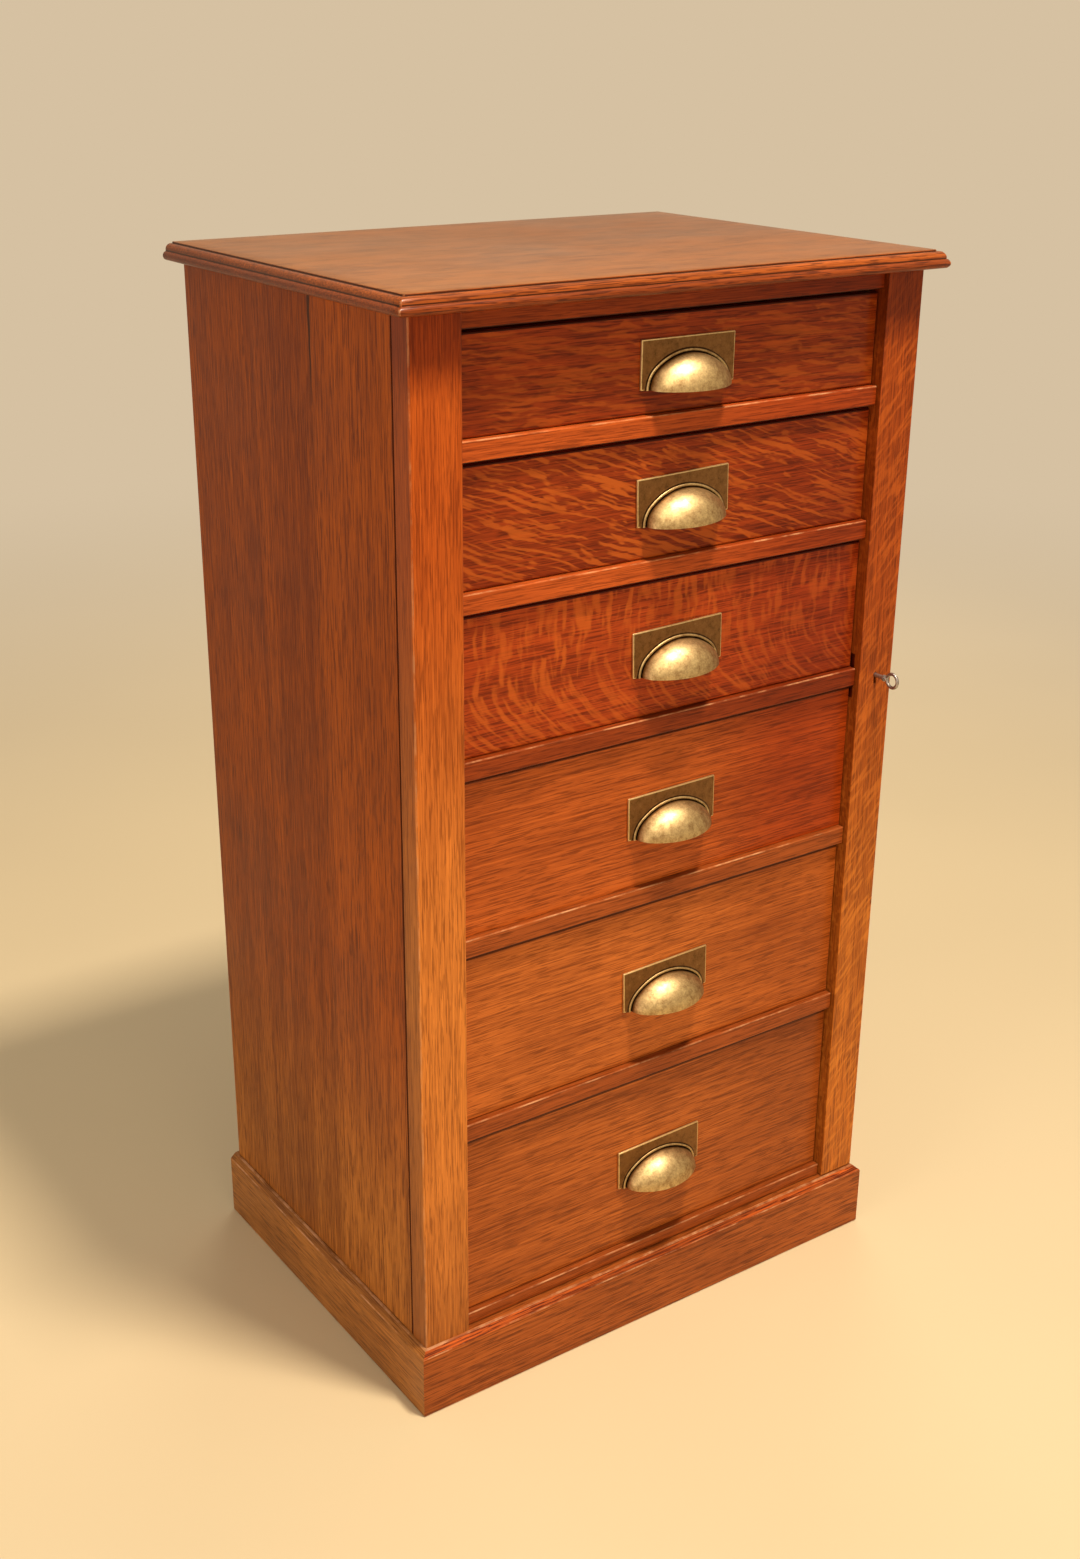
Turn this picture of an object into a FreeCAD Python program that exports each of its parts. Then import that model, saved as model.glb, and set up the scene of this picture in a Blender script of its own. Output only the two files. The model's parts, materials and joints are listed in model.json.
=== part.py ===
"""Oak Wellington chest: six graduated drawers between a fixed stile and a hinged locking flap.

Lengths are millimetres. X runs to the right, Y to the back and Z up. The origin is on the
floor, under the middle of the box that holds the whole chest with its key.
"""
import FreeCAD, Part
import os
import re
import Sketcher
from FreeCAD import Placement, Rotation, Vector

DRAWERS = range(1, 7)
TAILS_PER_CORNER = (2, 2, 3, 3, 4, 4)
BACK_BOARD_COUNT = 4
HINGE_COUNT = 3
KNUCKLE_COUNT = 5
SCREWS_PER_LEAF = 3
RIGHT_ANGLE = 90

DRIVING_SIZES = {
    # Carcase
    "overall_height": 1016.0,
    "body_width": 530.0,
    "body_depth": 383.0,
    "side_thickness": 20.0,
    "stile_width": 47.0,
    "stile_thickness": 24.0,
    "back_thickness": 9.0,
    "back_rebate": 10.0,
    # Moulded top
    "top_thickness": 15.5,
    "top_overhang": 16.5,
    "top_back_overhang": 5.5,
    "quirk_depth": 1.2,
    "quirk_ledge": 1.0,
    "ovolo_radius": 5.2,
    "nose_gap": 0.8,
    "nose_return": 3.0,
    # Plinth
    "plinth_height": 70.0,
    "plinth_thickness": 20.0,
    "plinth_projection": 8.0,
    "plinth_back_projection": 5.0,
    "plinth_chamfer_rise": 6.0,
    "plinth_chamfer_run": 6.5,
    "glue_block_side": 30.0,
    "glue_block_lift": 8.0,
    # Rails between the drawers
    "rail_thickness": 17.4,
    "rail_depth": 60.0,
    "rail_recess": 5.5,
    "rail_end_gap": 1.0,
    "top_rail_height": 16.0,
    "bottom_rail_height": 13.0,
    "tenon_length": 8.0,
    "tenon_shoulder": 3.5,
    "post_depth": 36.0,
    "runner_lap": 15.0,
    "guide_height": 14.0,
    "stop_height": 5.0,
    "stop_depth": 12.0,
    "stop_width": 40.0,
    "stop_spacing": 200.0,
    "stop_gap": 0.3,
    # Drawers
    "opening_step": 20.5,
    "drawer_recess": 12.0,
    "drawer_rear_gap": 24.0,
    "drawer_front_thickness": 20.0,
    "drawer_side_thickness": 11.0,
    "drawer_back_thickness": 10.0,
    "drawer_back_inset": 6.0,
    "drawer_back_drop": 5.0,
    "drawer_bottom_thickness": 7.0,
    "drawer_bottom_lift": 9.0,
    "groove_depth": 5.0,
    "drawer_side_gap": 0.8,
    "drawer_top_gap": 3.5,
    "drawer_under_gap": 0.3,
    "tail_length": 14.0,
    "tail_root": 15.0,
    "tail_flare": 2.5,
    # Cup pulls
    "plate_width": 98.5,
    "plate_height": 41.0,
    "plate_thickness": 2.5,
    "cup_half_width": 38.5,
    "cup_height": 27.5,
    "cup_end_radius": 20.0,
    "cup_wall": 2.0,
    "rim_half_width": 42.5,
    "rim_height": 31.0,
    "rim_end_radius": 24.0,
    "rim_rise": 2.2,
    "pull_offset": 6.5,
    "pull_drop": 3.5,
    "pull_drop_step": 0.8,
    "pull_post_radius": 4.0,
    "pull_post_length": 9.0,
    "pull_post_spacing": 64.0,
    "pull_post_clearance": 0.2,
    "pull_screw_radius": 2.0,
    "pull_screw_grip": 6.5,
    "pull_screw_head_radius": 4.2,
    "pull_screw_head_height": 2.4,
    # Locking flap and its hinges
    "flap_width": 41.0,
    "flap_end_gap": 1.5,
    "flap_back_gap": 0.5,
    "hinge_height": 64.0,
    "hinge_inset": 90.0,
    "leaf_width": 14.0,
    "leaf_thickness": 1.6,
    "barrel_radius": 3.0,
    "barrel_gap": 0.2,
    "knuckle_gap": 0.3,
    "pin_radius": 1.5,
    "pin_clearance": 0.05,
    "hinge_screw_radius": 1.6,
    "hinge_screw_head_radius": 3.0,
    "hinge_screw_length": 15.0,
    "hinge_screw_edge": 7.0,
    # Lock and key
    "lock_cover": 5.0,
    "lock_margin": 11.5,
    "lock_height": 44.0,
    "lock_depth": 11.0,
    "lock_wall": 1.2,
    "bolt_length": 13.0,
    "bolt_height": 9.0,
    "bolt_thickness": 3.0,
    "bolt_setback": 0.3,
    "bolt_clearance": 0.15,
    "bolt_mortise_depth": 7.0,
    "bolt_mortise_clearance": 0.5,
    "shank_radius": 2.0,
    "shank_clearance": 0.05,
    "shank_reach": 16.0,
    "keyhole_clearance": 0.5,
    "bow_radius": 6.6,
    "bow_wire": 1.6,
    "collar_radius": 3.1,
    "collar_width": 2.0,
    "collar_setback": 11.0,
    "bit_length": 8.0,
    "bit_thickness": 2.4,
    "bit_gap": 0.8,
}

DERIVED_SIZES = {
    "key_reach": "shank_reach + 2 * bow_radius + bow_wire",
    "front_plane": "-(body_depth + top_back_overhang - key_reach) / 2",
    "back_plane": "front_plane + body_depth",
    "back_inside": "back_plane - back_thickness",
    "right_face": "body_width / 2",
    "left_face": "-right_face",
    "left_inside": "left_face + side_thickness",
    "right_inside": "right_face - side_thickness",
    "stile_edge": "left_face + stile_width",
    "stile_back": "front_plane + stile_thickness",
    "flap_edge": "right_face - flap_width",
    "flap_seat": "stile_back + flap_back_gap",
    "rail_front": "front_plane + rail_recess",
    "rail_back": "rail_front + rail_depth",
    "rail_end": "flap_edge - rail_end_gap",
    "carcase_top": "overall_height - top_thickness",
    "floor_6": "plinth_height + bottom_rail_height",
    "top_left": "left_face - top_overhang",
    "top_front": "front_plane - top_overhang",
    "top_back": "back_plane + top_back_overhang",
    "ovolo_top": "overall_height - quirk_depth",
    "ovolo_foot": "ovolo_top - ovolo_radius",
    "nose_top": "ovolo_foot - nose_gap",
    "nose_height": "nose_top - carcase_top",
    "nose_radius": "(nose_height ^ 2 / 4 + nose_return ^ 2) / (2 * nose_return)",
    "ovolo_inset": "nose_return + ovolo_radius",
    "arris_inset": "ovolo_inset + quirk_ledge",
    "plinth_left_face": "left_face - plinth_projection",
    "plinth_front_face": "front_plane - plinth_projection",
    "plinth_left_inside": "plinth_left_face + plinth_thickness",
    "plinth_front_inside": "plinth_front_face + plinth_thickness",
    "plinth_end": "back_plane + plinth_back_projection",
    "chamfer_foot": "plinth_height - plinth_chamfer_rise",
    "drawer_left": "stile_edge + drawer_side_gap",
    "drawer_right": "flap_edge - drawer_side_gap",
    "drawer_face": "front_plane + drawer_recess",
    "drawer_front_back": "drawer_face + drawer_front_thickness",
    "drawer_end": "back_inside - drawer_rear_gap",
    "drawer_back_rear": "drawer_end - drawer_back_inset",
    "drawer_back_front": "drawer_back_rear - drawer_back_thickness",
    "pull_x": "(stile_edge + flap_edge) / 2 + pull_offset",
    "plate_face": "drawer_face - plate_thickness",
    "hollow_half_width": "cup_half_width - cup_wall",
    "hollow_height": "cup_height - cup_wall",
    "hollow_end_radius": "cup_end_radius - cup_wall",
    "flap_bottom": "plinth_height + flap_end_gap",
    "flap_top": "carcase_top - flap_end_gap",
    "hinge_x": "right_face + barrel_gap + barrel_radius",
    "hinge_y": "stile_back + flap_back_gap / 2",
    "hinge_screw_x": "right_face - hinge_screw_edge",
    "key_x": "(flap_edge + right_face) / 2",
    "key_z": "floor_3 - rail_thickness / 2",
    "lock_back": "stile_back - lock_cover",
    "lock_front": "lock_back - lock_depth",
    "lock_far": "key_x + lock_margin",
    "bolt_front": "lock_front + lock_wall + 2 * bolt_clearance",
    "bolt_back": "bolt_front + bolt_thickness",
    "bolt_nose": "flap_edge + bolt_setback",
    "bit_front": "bolt_back + bit_gap",
    "bit_back": "lock_back - lock_wall - bit_gap",
}
rails_between = f"{len(DRAWERS) - 1} * rail_thickness"
steps_below = f"{sum(range(len(DRAWERS)))} * opening_step"
DERIVED_SIZES["first_opening"] = (
    f"(carcase_top - top_rail_height - floor_6 - {rails_between} - {steps_below}) / {len(DRAWERS)}"
)
for n in DRAWERS:
    DERIVED_SIZES[f"opening_{n}"] = f"first_opening + {n - 1} * opening_step"
for n in DRAWERS[:-1]:
    DERIVED_SIZES[f"floor_{n}"] = f"floor_{n + 1} + opening_{n + 1} + rail_thickness"
for n in DRAWERS:
    DERIVED_SIZES[f"drawer_foot_{n}"] = f"floor_{n} + drawer_under_gap"
    DERIVED_SIZES[f"drawer_head_{n}"] = f"floor_{n} + opening_{n} - drawer_top_gap"
    DERIVED_SIZES[f"pull_foot_{n}"] = (
        f"(drawer_foot_{n} + drawer_head_{n} - plate_height) / 2 - pull_drop"
        f" + {len(DRAWERS) - n} * pull_drop_step"
    )
for curve in ("cup", "hollow", "rim"):
    flank = f"({curve}_half_width - {curve}_end_radius)"
    DERIVED_SIZES[f"{curve}_crown_radius"] = (
        f"({curve}_half_width ^ 2 + {curve}_height ^ 2 - 2 * {curve}_half_width * {curve}_end_radius)"
        f" / (2 * ({curve}_height - {curve}_end_radius))"
    )
    reach = f"{curve}_end_radius / ({curve}_crown_radius - {curve}_end_radius)"
    DERIVED_SIZES[f"{curve}_knee_x"] = f"{flank} * (1 + {reach})"
    DERIVED_SIZES[f"{curve}_knee_z"] = f"({curve}_crown_radius - {curve}_height) * {reach}"

AXES = {
    "x": Rotation(Vector(0, 1, 0), RIGHT_ANGLE),
    "y": Rotation(Vector(1, 0, 0), -RIGHT_ANGLE),
    "z": Rotation(),
}

doc = FreeCAD.newDocument("wellington_chest")
sheet = doc.addObject("Spreadsheet::Sheet", "Sizes")
for row, (word, size) in enumerate(DRIVING_SIZES.items(), start=1):
    sheet.set(f"A{row}", word)
    sheet.set(f"B{row}", str(size))
    sheet.setAlias(f"B{row}", word)
for row, word in enumerate(DERIVED_SIZES, start=1):
    sheet.set(f"C{row}", word)
    sheet.setAlias(f"D{row}", word)
for row, formula in enumerate(DERIVED_SIZES.values(), start=1):
    sheet.set(f"D{row}", "=" + formula)
doc.recompute()
nodes = []


def on_sheet(formula):
    """Turn the words of a formula into references to the sheet's cells."""
    return re.sub(r"[a-z]\w*", lambda word: "Sizes." + word.group(), formula)


def measure(formula):
    """The present value of a formula, for a sketch's first drawing."""
    return float(doc.Sizes.evalExpression(formula))


def place(piece, **corner):
    """Tie the corner of a piece to the sheet, one formula to each axis."""
    for axis, formula in corner.items():
        piece.setExpression(f"Placement.Base.{axis}", on_sheet(formula))


def node(piece):
    """Keep a piece as one of the chest's named parts."""
    nodes.append(piece)


def block(name, x, y, z):
    """A square-edged board between a low and a high formula on each axis."""
    board = doc.addObject("Part::Box", name)
    for length, (low, high) in zip(("Length", "Width", "Height"), (x, y, z)):
        board.setExpression(length, on_sheet(f"({high}) - ({low})"))
    place(board, x=x[0], y=y[0], z=z[0])
    return board


def rod(name, radius, axis, low, high, **across):
    """A round bar from low to high along an axis, at a place across it."""
    bar = doc.addObject("Part::Cylinder", name)
    bar.Placement = Placement(Vector(), AXES[axis])
    bar.setExpression("Radius", on_sheet(radius))
    bar.setExpression("Height", on_sheet(f"({high}) - ({low})"))
    place(bar, **across, **{axis: low})
    return bar


def fuse(name, *pieces):
    """One solid made of several."""
    whole = doc.addObject("Part::MultiFuse", name)
    whole.Shapes = list(pieces)
    return whole


def cut(name, base, *tools):
    """A piece with the shapes of other pieces taken out of it."""
    rest = doc.addObject("Part::Cut", name)
    rest.Base = base
    rest.Tool = tools[0] if len(tools) == 1 else group(name + "_cutters", tools)
    return rest


def common(name, first, second):
    """What two shapes share."""
    shared = doc.addObject("Part::Common", name)
    shared.Base = first
    shared.Tool = second
    return shared


def group(name, pieces):
    """Several separate solids kept together under one name."""
    together = doc.addObject("Part::Compound", name)
    together.Links = list(pieces)
    return together


def draw(body, plane, outline):
    """A sketch of a closed outline of lines and arcs on one of a body's own planes.

    Each step of the outline is (u, v) for a straight run to that point, or (u, v, radius) for
    a round one that bulges to the right of its direction of travel.
    """
    drawing = body.newObject("Sketcher::SketchObject", body.Name + "_outline")
    origin_plane = next(p for p in body.Origin.OriginFeatures if p.Role == plane + "_Plane")
    drawing.AttachmentSupport = [(origin_plane, "")]
    drawing.MapMode = "FlatFace"
    corners = [Vector(measure(step[0]), measure(step[1]), 0) for step in outline]
    edges = []
    for index, step in enumerate(outline):
        begin = corners[index - 1]
        finish = corners[index]
        if len(step) == 2:
            edges.append((drawing.addGeometry(Part.LineSegment(begin, finish)), 1, 2))
            continue
        chord = finish - begin
        radius = measure(step[2])
        left = Vector(-chord.y, chord.x, 0).normalize()
        centre = (begin + finish) / 2 + left * (radius ** 2 - (chord.Length / 2) ** 2) ** 0.5
        round_edge = Part.Arc(begin, centre - left * radius, finish)
        edges.append((drawing.addGeometry(round_edge), 1, 2))
        tie = drawing.addConstraint(Sketcher.Constraint("Radius", edges[-1][0], radius))
        drawing.setExpression(f"Constraints[{tie}]", on_sheet(step[2]))
    for index, step in enumerate(outline):
        edge, _, end = edges[index]
        next_edge, next_start, _ = edges[(index + 1) % len(edges)]
        drawing.addConstraint(Sketcher.Constraint("Coincident", edge, end, next_edge, next_start))
        for kind, spot, formula in zip(("DistanceX", "DistanceY"), corners[index], step):
            tie = drawing.addConstraint(Sketcher.Constraint(kind, -1, 1, edge, end, spot))
            drawing.setExpression(f"Constraints[{tie}]", on_sheet(formula))
    return drawing


def prism(name, plane, low, high, outline):
    """A body padded on an outline, from low to high across its plane."""
    body = doc.addObject("PartDesign::Body", name)
    drawing = draw(body, plane, outline)
    pad = body.newObject("PartDesign::Pad", name + "_pad")
    pad.Profile = drawing
    pad.setExpression("Length", on_sheet(f"({high}) - ({low})"))
    axis, start = {"XY": ("z", low), "YZ": ("x", low), "XZ": ("y", high)}[plane]
    place(body, **{axis: start})
    return body


def quarter_turn(name, outline, **centre):
    """A body turned a quarter of the way round X, from facing forward to facing up."""
    body = doc.addObject("PartDesign::Body", name)
    drawing = draw(body, "XY", outline)
    turn = body.newObject("PartDesign::Revolution", name + "_turn")
    turn.Profile = drawing
    turn.ReferenceAxis = (drawing, ["H_Axis"])
    turn.Angle = RIGHT_ANGLE
    turn.Reversed = True
    place(body, **centre)
    return body


def arch(name, rise):
    """The outline of half a basket arch of three arcs, rising towards plus or minus one."""
    knee_z = f"{rise} * {name}_knee_z"
    steps = [
        (f"{name}_half_width", "0"),
        (f"{name}_knee_x", knee_z, f"{name}_end_radius"),
        (f"-{name}_knee_x", knee_z, f"{name}_crown_radius"),
        (f"-{name}_half_width", "0", f"{name}_end_radius"),
    ]
    return steps if rise > 0 else mirrored(steps)


def moulding(nose, sign):
    """The moulded edge from the underside up to the top's arris, at a nose facing sign."""
    def at(inset):
        return f"{nose} - {sign} * ({inset})"
    return [
        (at("nose_return"), "carcase_top"),
        (at("nose_return"), "nose_top", "nose_radius"),
        (at("nose_return"), "ovolo_foot"),
        (at("ovolo_inset"), "ovolo_top", "ovolo_radius"),
        (at("arris_inset"), "ovolo_top"),
        (at("arris_inset"), "overall_height"),
    ]


def mirrored(edge):
    """The same moulded edge seen from its other end, so its arcs bulge the right way."""
    turned = []
    for index in range(len(edge) - 1, -1, -1):
        radius = edge[index + 1][2:] if index + 1 < len(edge) else ()
        turned.append(edge[index][:2] + radius)
    return turned


def make_top():
    """The top board, moulded along its front and both sides and square at the back."""
    right_nose = moulding("-top_left", 1)
    left_nose = mirrored(moulding("top_left", -1))
    across = prism("top_across", "XZ", "top_front", "top_back", right_nose + left_nose)
    front_nose = mirrored(moulding("top_front", -1))
    square_back = [("top_back", "carcase_top"), ("top_back", "overall_height")]
    along = prism("top_along", "YZ", "top_left", "-top_left", square_back + front_nose)
    node(common("top_board", across, along))


def make_sides_and_back():
    """Both side boards, rebated for the boarded back."""
    height = ("plinth_height", "carcase_top")
    back_x = ("left_inside - back_rebate", "right_inside + back_rebate")
    rebate = block("back_rebate_cutter", back_x, ("back_inside", "back_plane"), height)
    left = block("left_side_board", ("left_face", "left_inside"), ("stile_back", "back_plane"), height)
    node(cut("left_side", left, rebate))
    boards = []
    pitch = f"(right_inside - left_inside + 2 * back_rebate) / {BACK_BOARD_COUNT}"
    for index in range(BACK_BOARD_COUNT):
        start = f"left_inside - back_rebate + {index} * {pitch}"
        limits = (start, f"{start} + {pitch}")
        boards.append(block(f"back_board_{index + 1}", limits, ("back_inside", "back_plane"), height))
    node(group("back_boards", boards))
    right = block("right_side_board", ("right_inside", "right_face"), ("flap_seat", "back_plane"), height)
    return right, rebate


def make_rails():
    """The rails across the front, tenoned into the fixed stile and the hinge post."""
    levels = [("top_rail", "carcase_top - top_rail_height", "carcase_top")]
    for n in DRAWERS[:-1]:
        levels.append((f"rail_{n}", f"floor_{n} - rail_thickness", f"floor_{n}"))
    levels.append(("bottom_rail", "plinth_height", "floor_6"))
    tenons = []
    bolt_slack = "bolt_height / 2 + bolt_mortise_clearance"
    bolt_mortise = block(
        "bolt_mortise",
        ("rail_end - bolt_mortise_depth", "flap_edge"),
        ("bolt_front - bolt_mortise_clearance", "bolt_back + bolt_mortise_clearance"),
        (f"key_z - ({bolt_slack})", f"key_z + {bolt_slack}"),
    )
    for name, low, high in levels:
        front = block(name + "_front", ("stile_edge", "rail_end"), ("rail_front", "flap_seat"), (low, high))
        rear = block(name + "_rear", ("left_inside", "flap_edge"), ("flap_seat", "rail_back"), (low, high))
        tenon_z = (f"{low} + tenon_shoulder", f"{high} - tenon_shoulder")
        left_tenon = block(
            name + "_left_tenon",
            ("stile_edge - tenon_length", "stile_edge"),
            ("rail_front + tenon_shoulder", "stile_back - tenon_shoulder"),
            tenon_z,
        )
        right_tenon = block(
            name + "_right_tenon",
            ("flap_edge", "flap_edge + tenon_length"),
            ("flap_seat + tenon_shoulder", "flap_seat + post_depth - tenon_shoulder"),
            tenon_z,
        )
        tenons += [left_tenon, right_tenon]
        if name == "rail_3":
            solid_rail = fuse("rail_3_blank", front, rear, left_tenon, right_tenon)
            node(cut(name, solid_rail, bolt_mortise))
        else:
            node(fuse(name, front, rear, left_tenon, right_tenon))
    return tenons


def make_uprights(tenons):
    """The fixed left stile and the post behind the flap, mortised for the rails."""
    height = ("plinth_height", "carcase_top")
    stile = block("stile_blank", ("left_face", "stile_edge"), ("front_plane", "stile_back"), height)
    node(cut("left_stile", stile, *tenons[0::2]))
    post_y = ("flap_seat", "flap_seat + post_depth")
    post = block("post_blank", ("flap_edge", "right_inside"), post_y, height)
    node(cut("hinge_post", post, *tenons[1::2]))


def make_inner_frame():
    """The bottom board, the runners that carry and guide the drawers, and their stops."""
    node(block("bottom_board", ("left_inside", "right_inside"), ("rail_back", "back_inside"),
               ("plinth_height", "floor_6")))
    hands = {
        "left": (("left_inside", "stile_edge + runner_lap"), ("left_inside", "stile_edge"), "flap_seat"),
        "right": (("flap_edge - runner_lap", "right_inside"), ("flap_edge", "right_inside"),
                  "flap_seat + post_depth"),
    }
    runners = []
    stops = []
    for hand, (runner_x, guide_x, guide_start) in hands.items():
        kicker_z = ("carcase_top - top_rail_height", "carcase_top")
        runners.append(block(f"kicker_{hand}", runner_x, ("rail_back", "back_inside"), kicker_z))
        for n in DRAWERS:
            guide_z = (f"floor_{n}", f"floor_{n} + guide_height")
            guide = block(f"guide_{n}_{hand}", guide_x, (guide_start, "back_inside"), guide_z)
            if n == DRAWERS[-1]:
                runners.append(guide)
                continue
            runner_z = (f"floor_{n} - rail_thickness", f"floor_{n}")
            runner = block(f"runner_{n}_{hand}", runner_x, ("rail_back", "back_inside"), runner_z)
            runners.append(fuse(f"drawer_runner_{n}_{hand}", runner, guide))
    stop_front = "drawer_front_back + stop_gap"
    for n in DRAWERS:
        for hand, sign in (("left", -1), ("right", 1)):
            middle = f"(stile_edge + flap_edge) / 2 + {sign} * stop_spacing / 2"
            stops.append(block(
                f"stop_{n}_{hand}",
                (f"{middle} - stop_width / 2", f"{middle} + stop_width / 2"),
                (stop_front, f"{stop_front} + stop_depth"),
                (f"floor_{n}", f"floor_{n} + stop_height"),
            ))
    node(group("drawer_runners", runners))
    node(group("drawer_stops", stops))


def make_plinth():
    """The mitred plinth, chamfered along its top, with a plain back and corner glue blocks."""
    front_plan = [
        ("plinth_left_face", "plinth_front_face"),
        ("-plinth_left_face", "plinth_front_face"),
        ("-plinth_left_inside", "plinth_front_inside"),
        ("plinth_left_inside", "plinth_front_inside"),
    ]
    front = prism("plinth_front_board", "XY", "0", "plinth_height", front_plan)
    front_chamfer = prism("plinth_front_chamfer", "YZ", "plinth_left_face", "-plinth_left_face", [
        ("plinth_front_face", "chamfer_foot"),
        ("plinth_front_face + plinth_chamfer_run", "plinth_height"),
        ("plinth_front_face", "plinth_height"),
    ])
    node(cut("plinth_front", front, front_chamfer))
    for hand, sign in (("left", ""), ("right", "-")):
        face = f"{sign}plinth_left_face"
        inside = f"{sign}plinth_left_inside"
        side = prism(f"plinth_{hand}_board", "XY", "0", "plinth_height", [
            (face, "plinth_front_face"),
            (inside, "plinth_front_inside"),
            (inside, "plinth_end"),
            (face, "plinth_end"),
        ])
        run = "plinth_chamfer_run" if hand == "left" else "-plinth_chamfer_run"
        chamfer = prism(f"plinth_{hand}_chamfer", "XZ", "plinth_front_face", "plinth_end", [
            (face, "chamfer_foot"),
            (f"{face} + {run}", "plinth_height"),
            (face, "plinth_height"),
        ])
        node(cut(f"plinth_{hand}", side, chamfer))
    rail_y = ("back_plane - plinth_thickness", "back_plane")
    node(block("plinth_back", ("plinth_left_inside", "-plinth_left_inside"), rail_y, ("0", "plinth_height")))
    blocks = []
    block_x = {
        "left": ("plinth_left_inside", "plinth_left_inside + glue_block_side"),
        "right": ("-plinth_left_inside - glue_block_side", "-plinth_left_inside"),
    }
    block_y = {
        "front": ("plinth_front_inside", "plinth_front_inside + glue_block_side"),
        "back": ("back_plane - plinth_thickness - glue_block_side", "back_plane - plinth_thickness"),
    }
    for hand, x in block_x.items():
        for end, y in block_y.items():
            blocks.append(block(f"glue_block_{end}_{hand}", x, y, ("glue_block_lift", "plinth_height")))
    node(group("plinth_blocks", blocks))


def make_pull(n):
    """A cast cup pull with its backplate and posts, and the two screws that hold it."""
    name = f"drawer_{n}_pull"
    foot = f"pull_foot_{n}"
    centre = {"x": "pull_x", "y": "plate_face", "z": foot}
    plate_x = ("pull_x - plate_width / 2", "pull_x + plate_width / 2")
    plate = block(name + "_plate", plate_x, ("plate_face", "drawer_face"), (foot, f"{foot} + plate_height"))
    dome = quarter_turn(name + "_dome", arch("cup", -1), **centre)
    hollow = quarter_turn(name + "_hollow", arch("hollow", -1), **centre)
    rim = prism(name + "_rim", "XZ", "plate_face - rim_rise", "plate_face", arch("rim", 1))
    place(rim, x="pull_x", z=foot)
    cup = cut(name + "_cup", fuse(name + "_hood", dome, rim), hollow)
    posts = []
    bores = []
    holes = []
    screws = []
    post_end = "drawer_face + pull_post_length"
    screw_tip = f"{post_end} - pull_screw_grip"
    for hand, sign in (("left", -1), ("right", 1)):
        spot = {"x": f"pull_x + {sign} * pull_post_spacing / 2", "z": f"{foot} + plate_height / 2"}
        tag = f"{name}_{hand}"
        posts.append(rod(tag + "_post", "pull_post_radius", "y", "drawer_face", post_end, **spot))
        bore_radius = "pull_screw_radius + shank_clearance"
        bores.append(rod(tag + "_bore", bore_radius, "y", screw_tip, post_end, **spot))
        shank = rod(tag + "_shank", "pull_screw_radius", "y", screw_tip, "drawer_front_back", **spot)
        head_end = "drawer_front_back + pull_screw_head_height"
        head = rod(tag + "_head", "pull_screw_head_radius", "y", "drawer_front_back", head_end, **spot)
        screws.append(fuse(tag + "_screw", shank, head))
        holes.append(rod(tag + "_socket", "pull_post_radius + pull_post_clearance", "y",
                         "drawer_face", f"{post_end} + pull_post_clearance", **spot))
        holes.append(rod(tag + "_hole", "pull_screw_radius + pull_post_clearance", "y",
                         screw_tip, "drawer_front_back", **spot))
    casting = cut(name + "_casting", fuse(name + "_solid", plate, cup, *posts), *bores)
    return group(name, [casting] + screws), holes


def make_tail(name, x, middle):
    """One dovetail, narrow at its root behind the drawer front and flared towards its tip."""
    tail = doc.addObject("Part::Wedge", name)
    half_root = "tail_root / 2"
    half_tip = "tail_root / 2 + tail_flare"
    for limit, formula in (
        ("Xmin", x[0]), ("X2min", x[0]), ("Xmax", x[1]), ("X2max", x[1]),
        ("Ymin", "drawer_front_back - tail_length"), ("Ymax", "drawer_front_back"),
        ("Zmin", f"{middle} - ({half_tip})"), ("Zmax", f"{middle} + ({half_tip})"),
        ("Z2min", f"{middle} - {half_root}"), ("Z2max", f"{middle} + {half_root}"),
    ):
        tail.setExpression(limit, on_sheet(formula))
    return tail


def make_drawer(n, tail_count):
    """A drawer with dovetailed sides, a bottom held in grooves and a cup pull."""
    name = f"drawer_{n}"
    foot = f"drawer_foot_{n}"
    head = f"drawer_head_{n}"
    floor = f"{foot} + drawer_bottom_lift"
    floor_top = f"{floor} + drawer_bottom_thickness"
    inner_left = "drawer_left + drawer_side_thickness"
    inner_right = "drawer_right - drawer_side_thickness"
    bottom = block(
        f"{name}_bottom",
        (f"{inner_left} - groove_depth", f"{inner_right} + groove_depth"),
        ("drawer_front_back - groove_depth", "drawer_back_rear"),
        (floor, floor_top),
    )
    front = block(f"{name}_front_board", ("drawer_left", "drawer_right"),
                  ("drawer_face", "drawer_front_back"), (foot, head))
    sides = []
    tails = []
    for hand, x in (("left", ("drawer_left", inner_left)), ("right", (inner_right, "drawer_right"))):
        side = block(f"{name}_{hand}_board", x, ("drawer_front_back", "drawer_end"), (foot, head))
        own_tails = []
        for index in range(tail_count):
            middle = f"{foot} + ({head} - {foot}) * {(index + 0.5) / tail_count}"
            own_tails.append(make_tail(f"{name}_{hand}_tail_{index + 1}", x, middle))
        sides.append(cut(f"{name}_{hand}_side", fuse(f"{name}_{hand}_blank", side, *own_tails), bottom))
        tails += own_tails
    pull, holes = make_pull(n)
    node(cut(f"{name}_front", front, bottom, *tails, *holes))
    node(group(f"{name}_sides", sides))
    node(block(f"{name}_back", (inner_left, inner_right), ("drawer_back_front", "drawer_back_rear"),
               (floor_top, f"{head} - drawer_back_drop")))
    node(bottom)
    node(pull)


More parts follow.
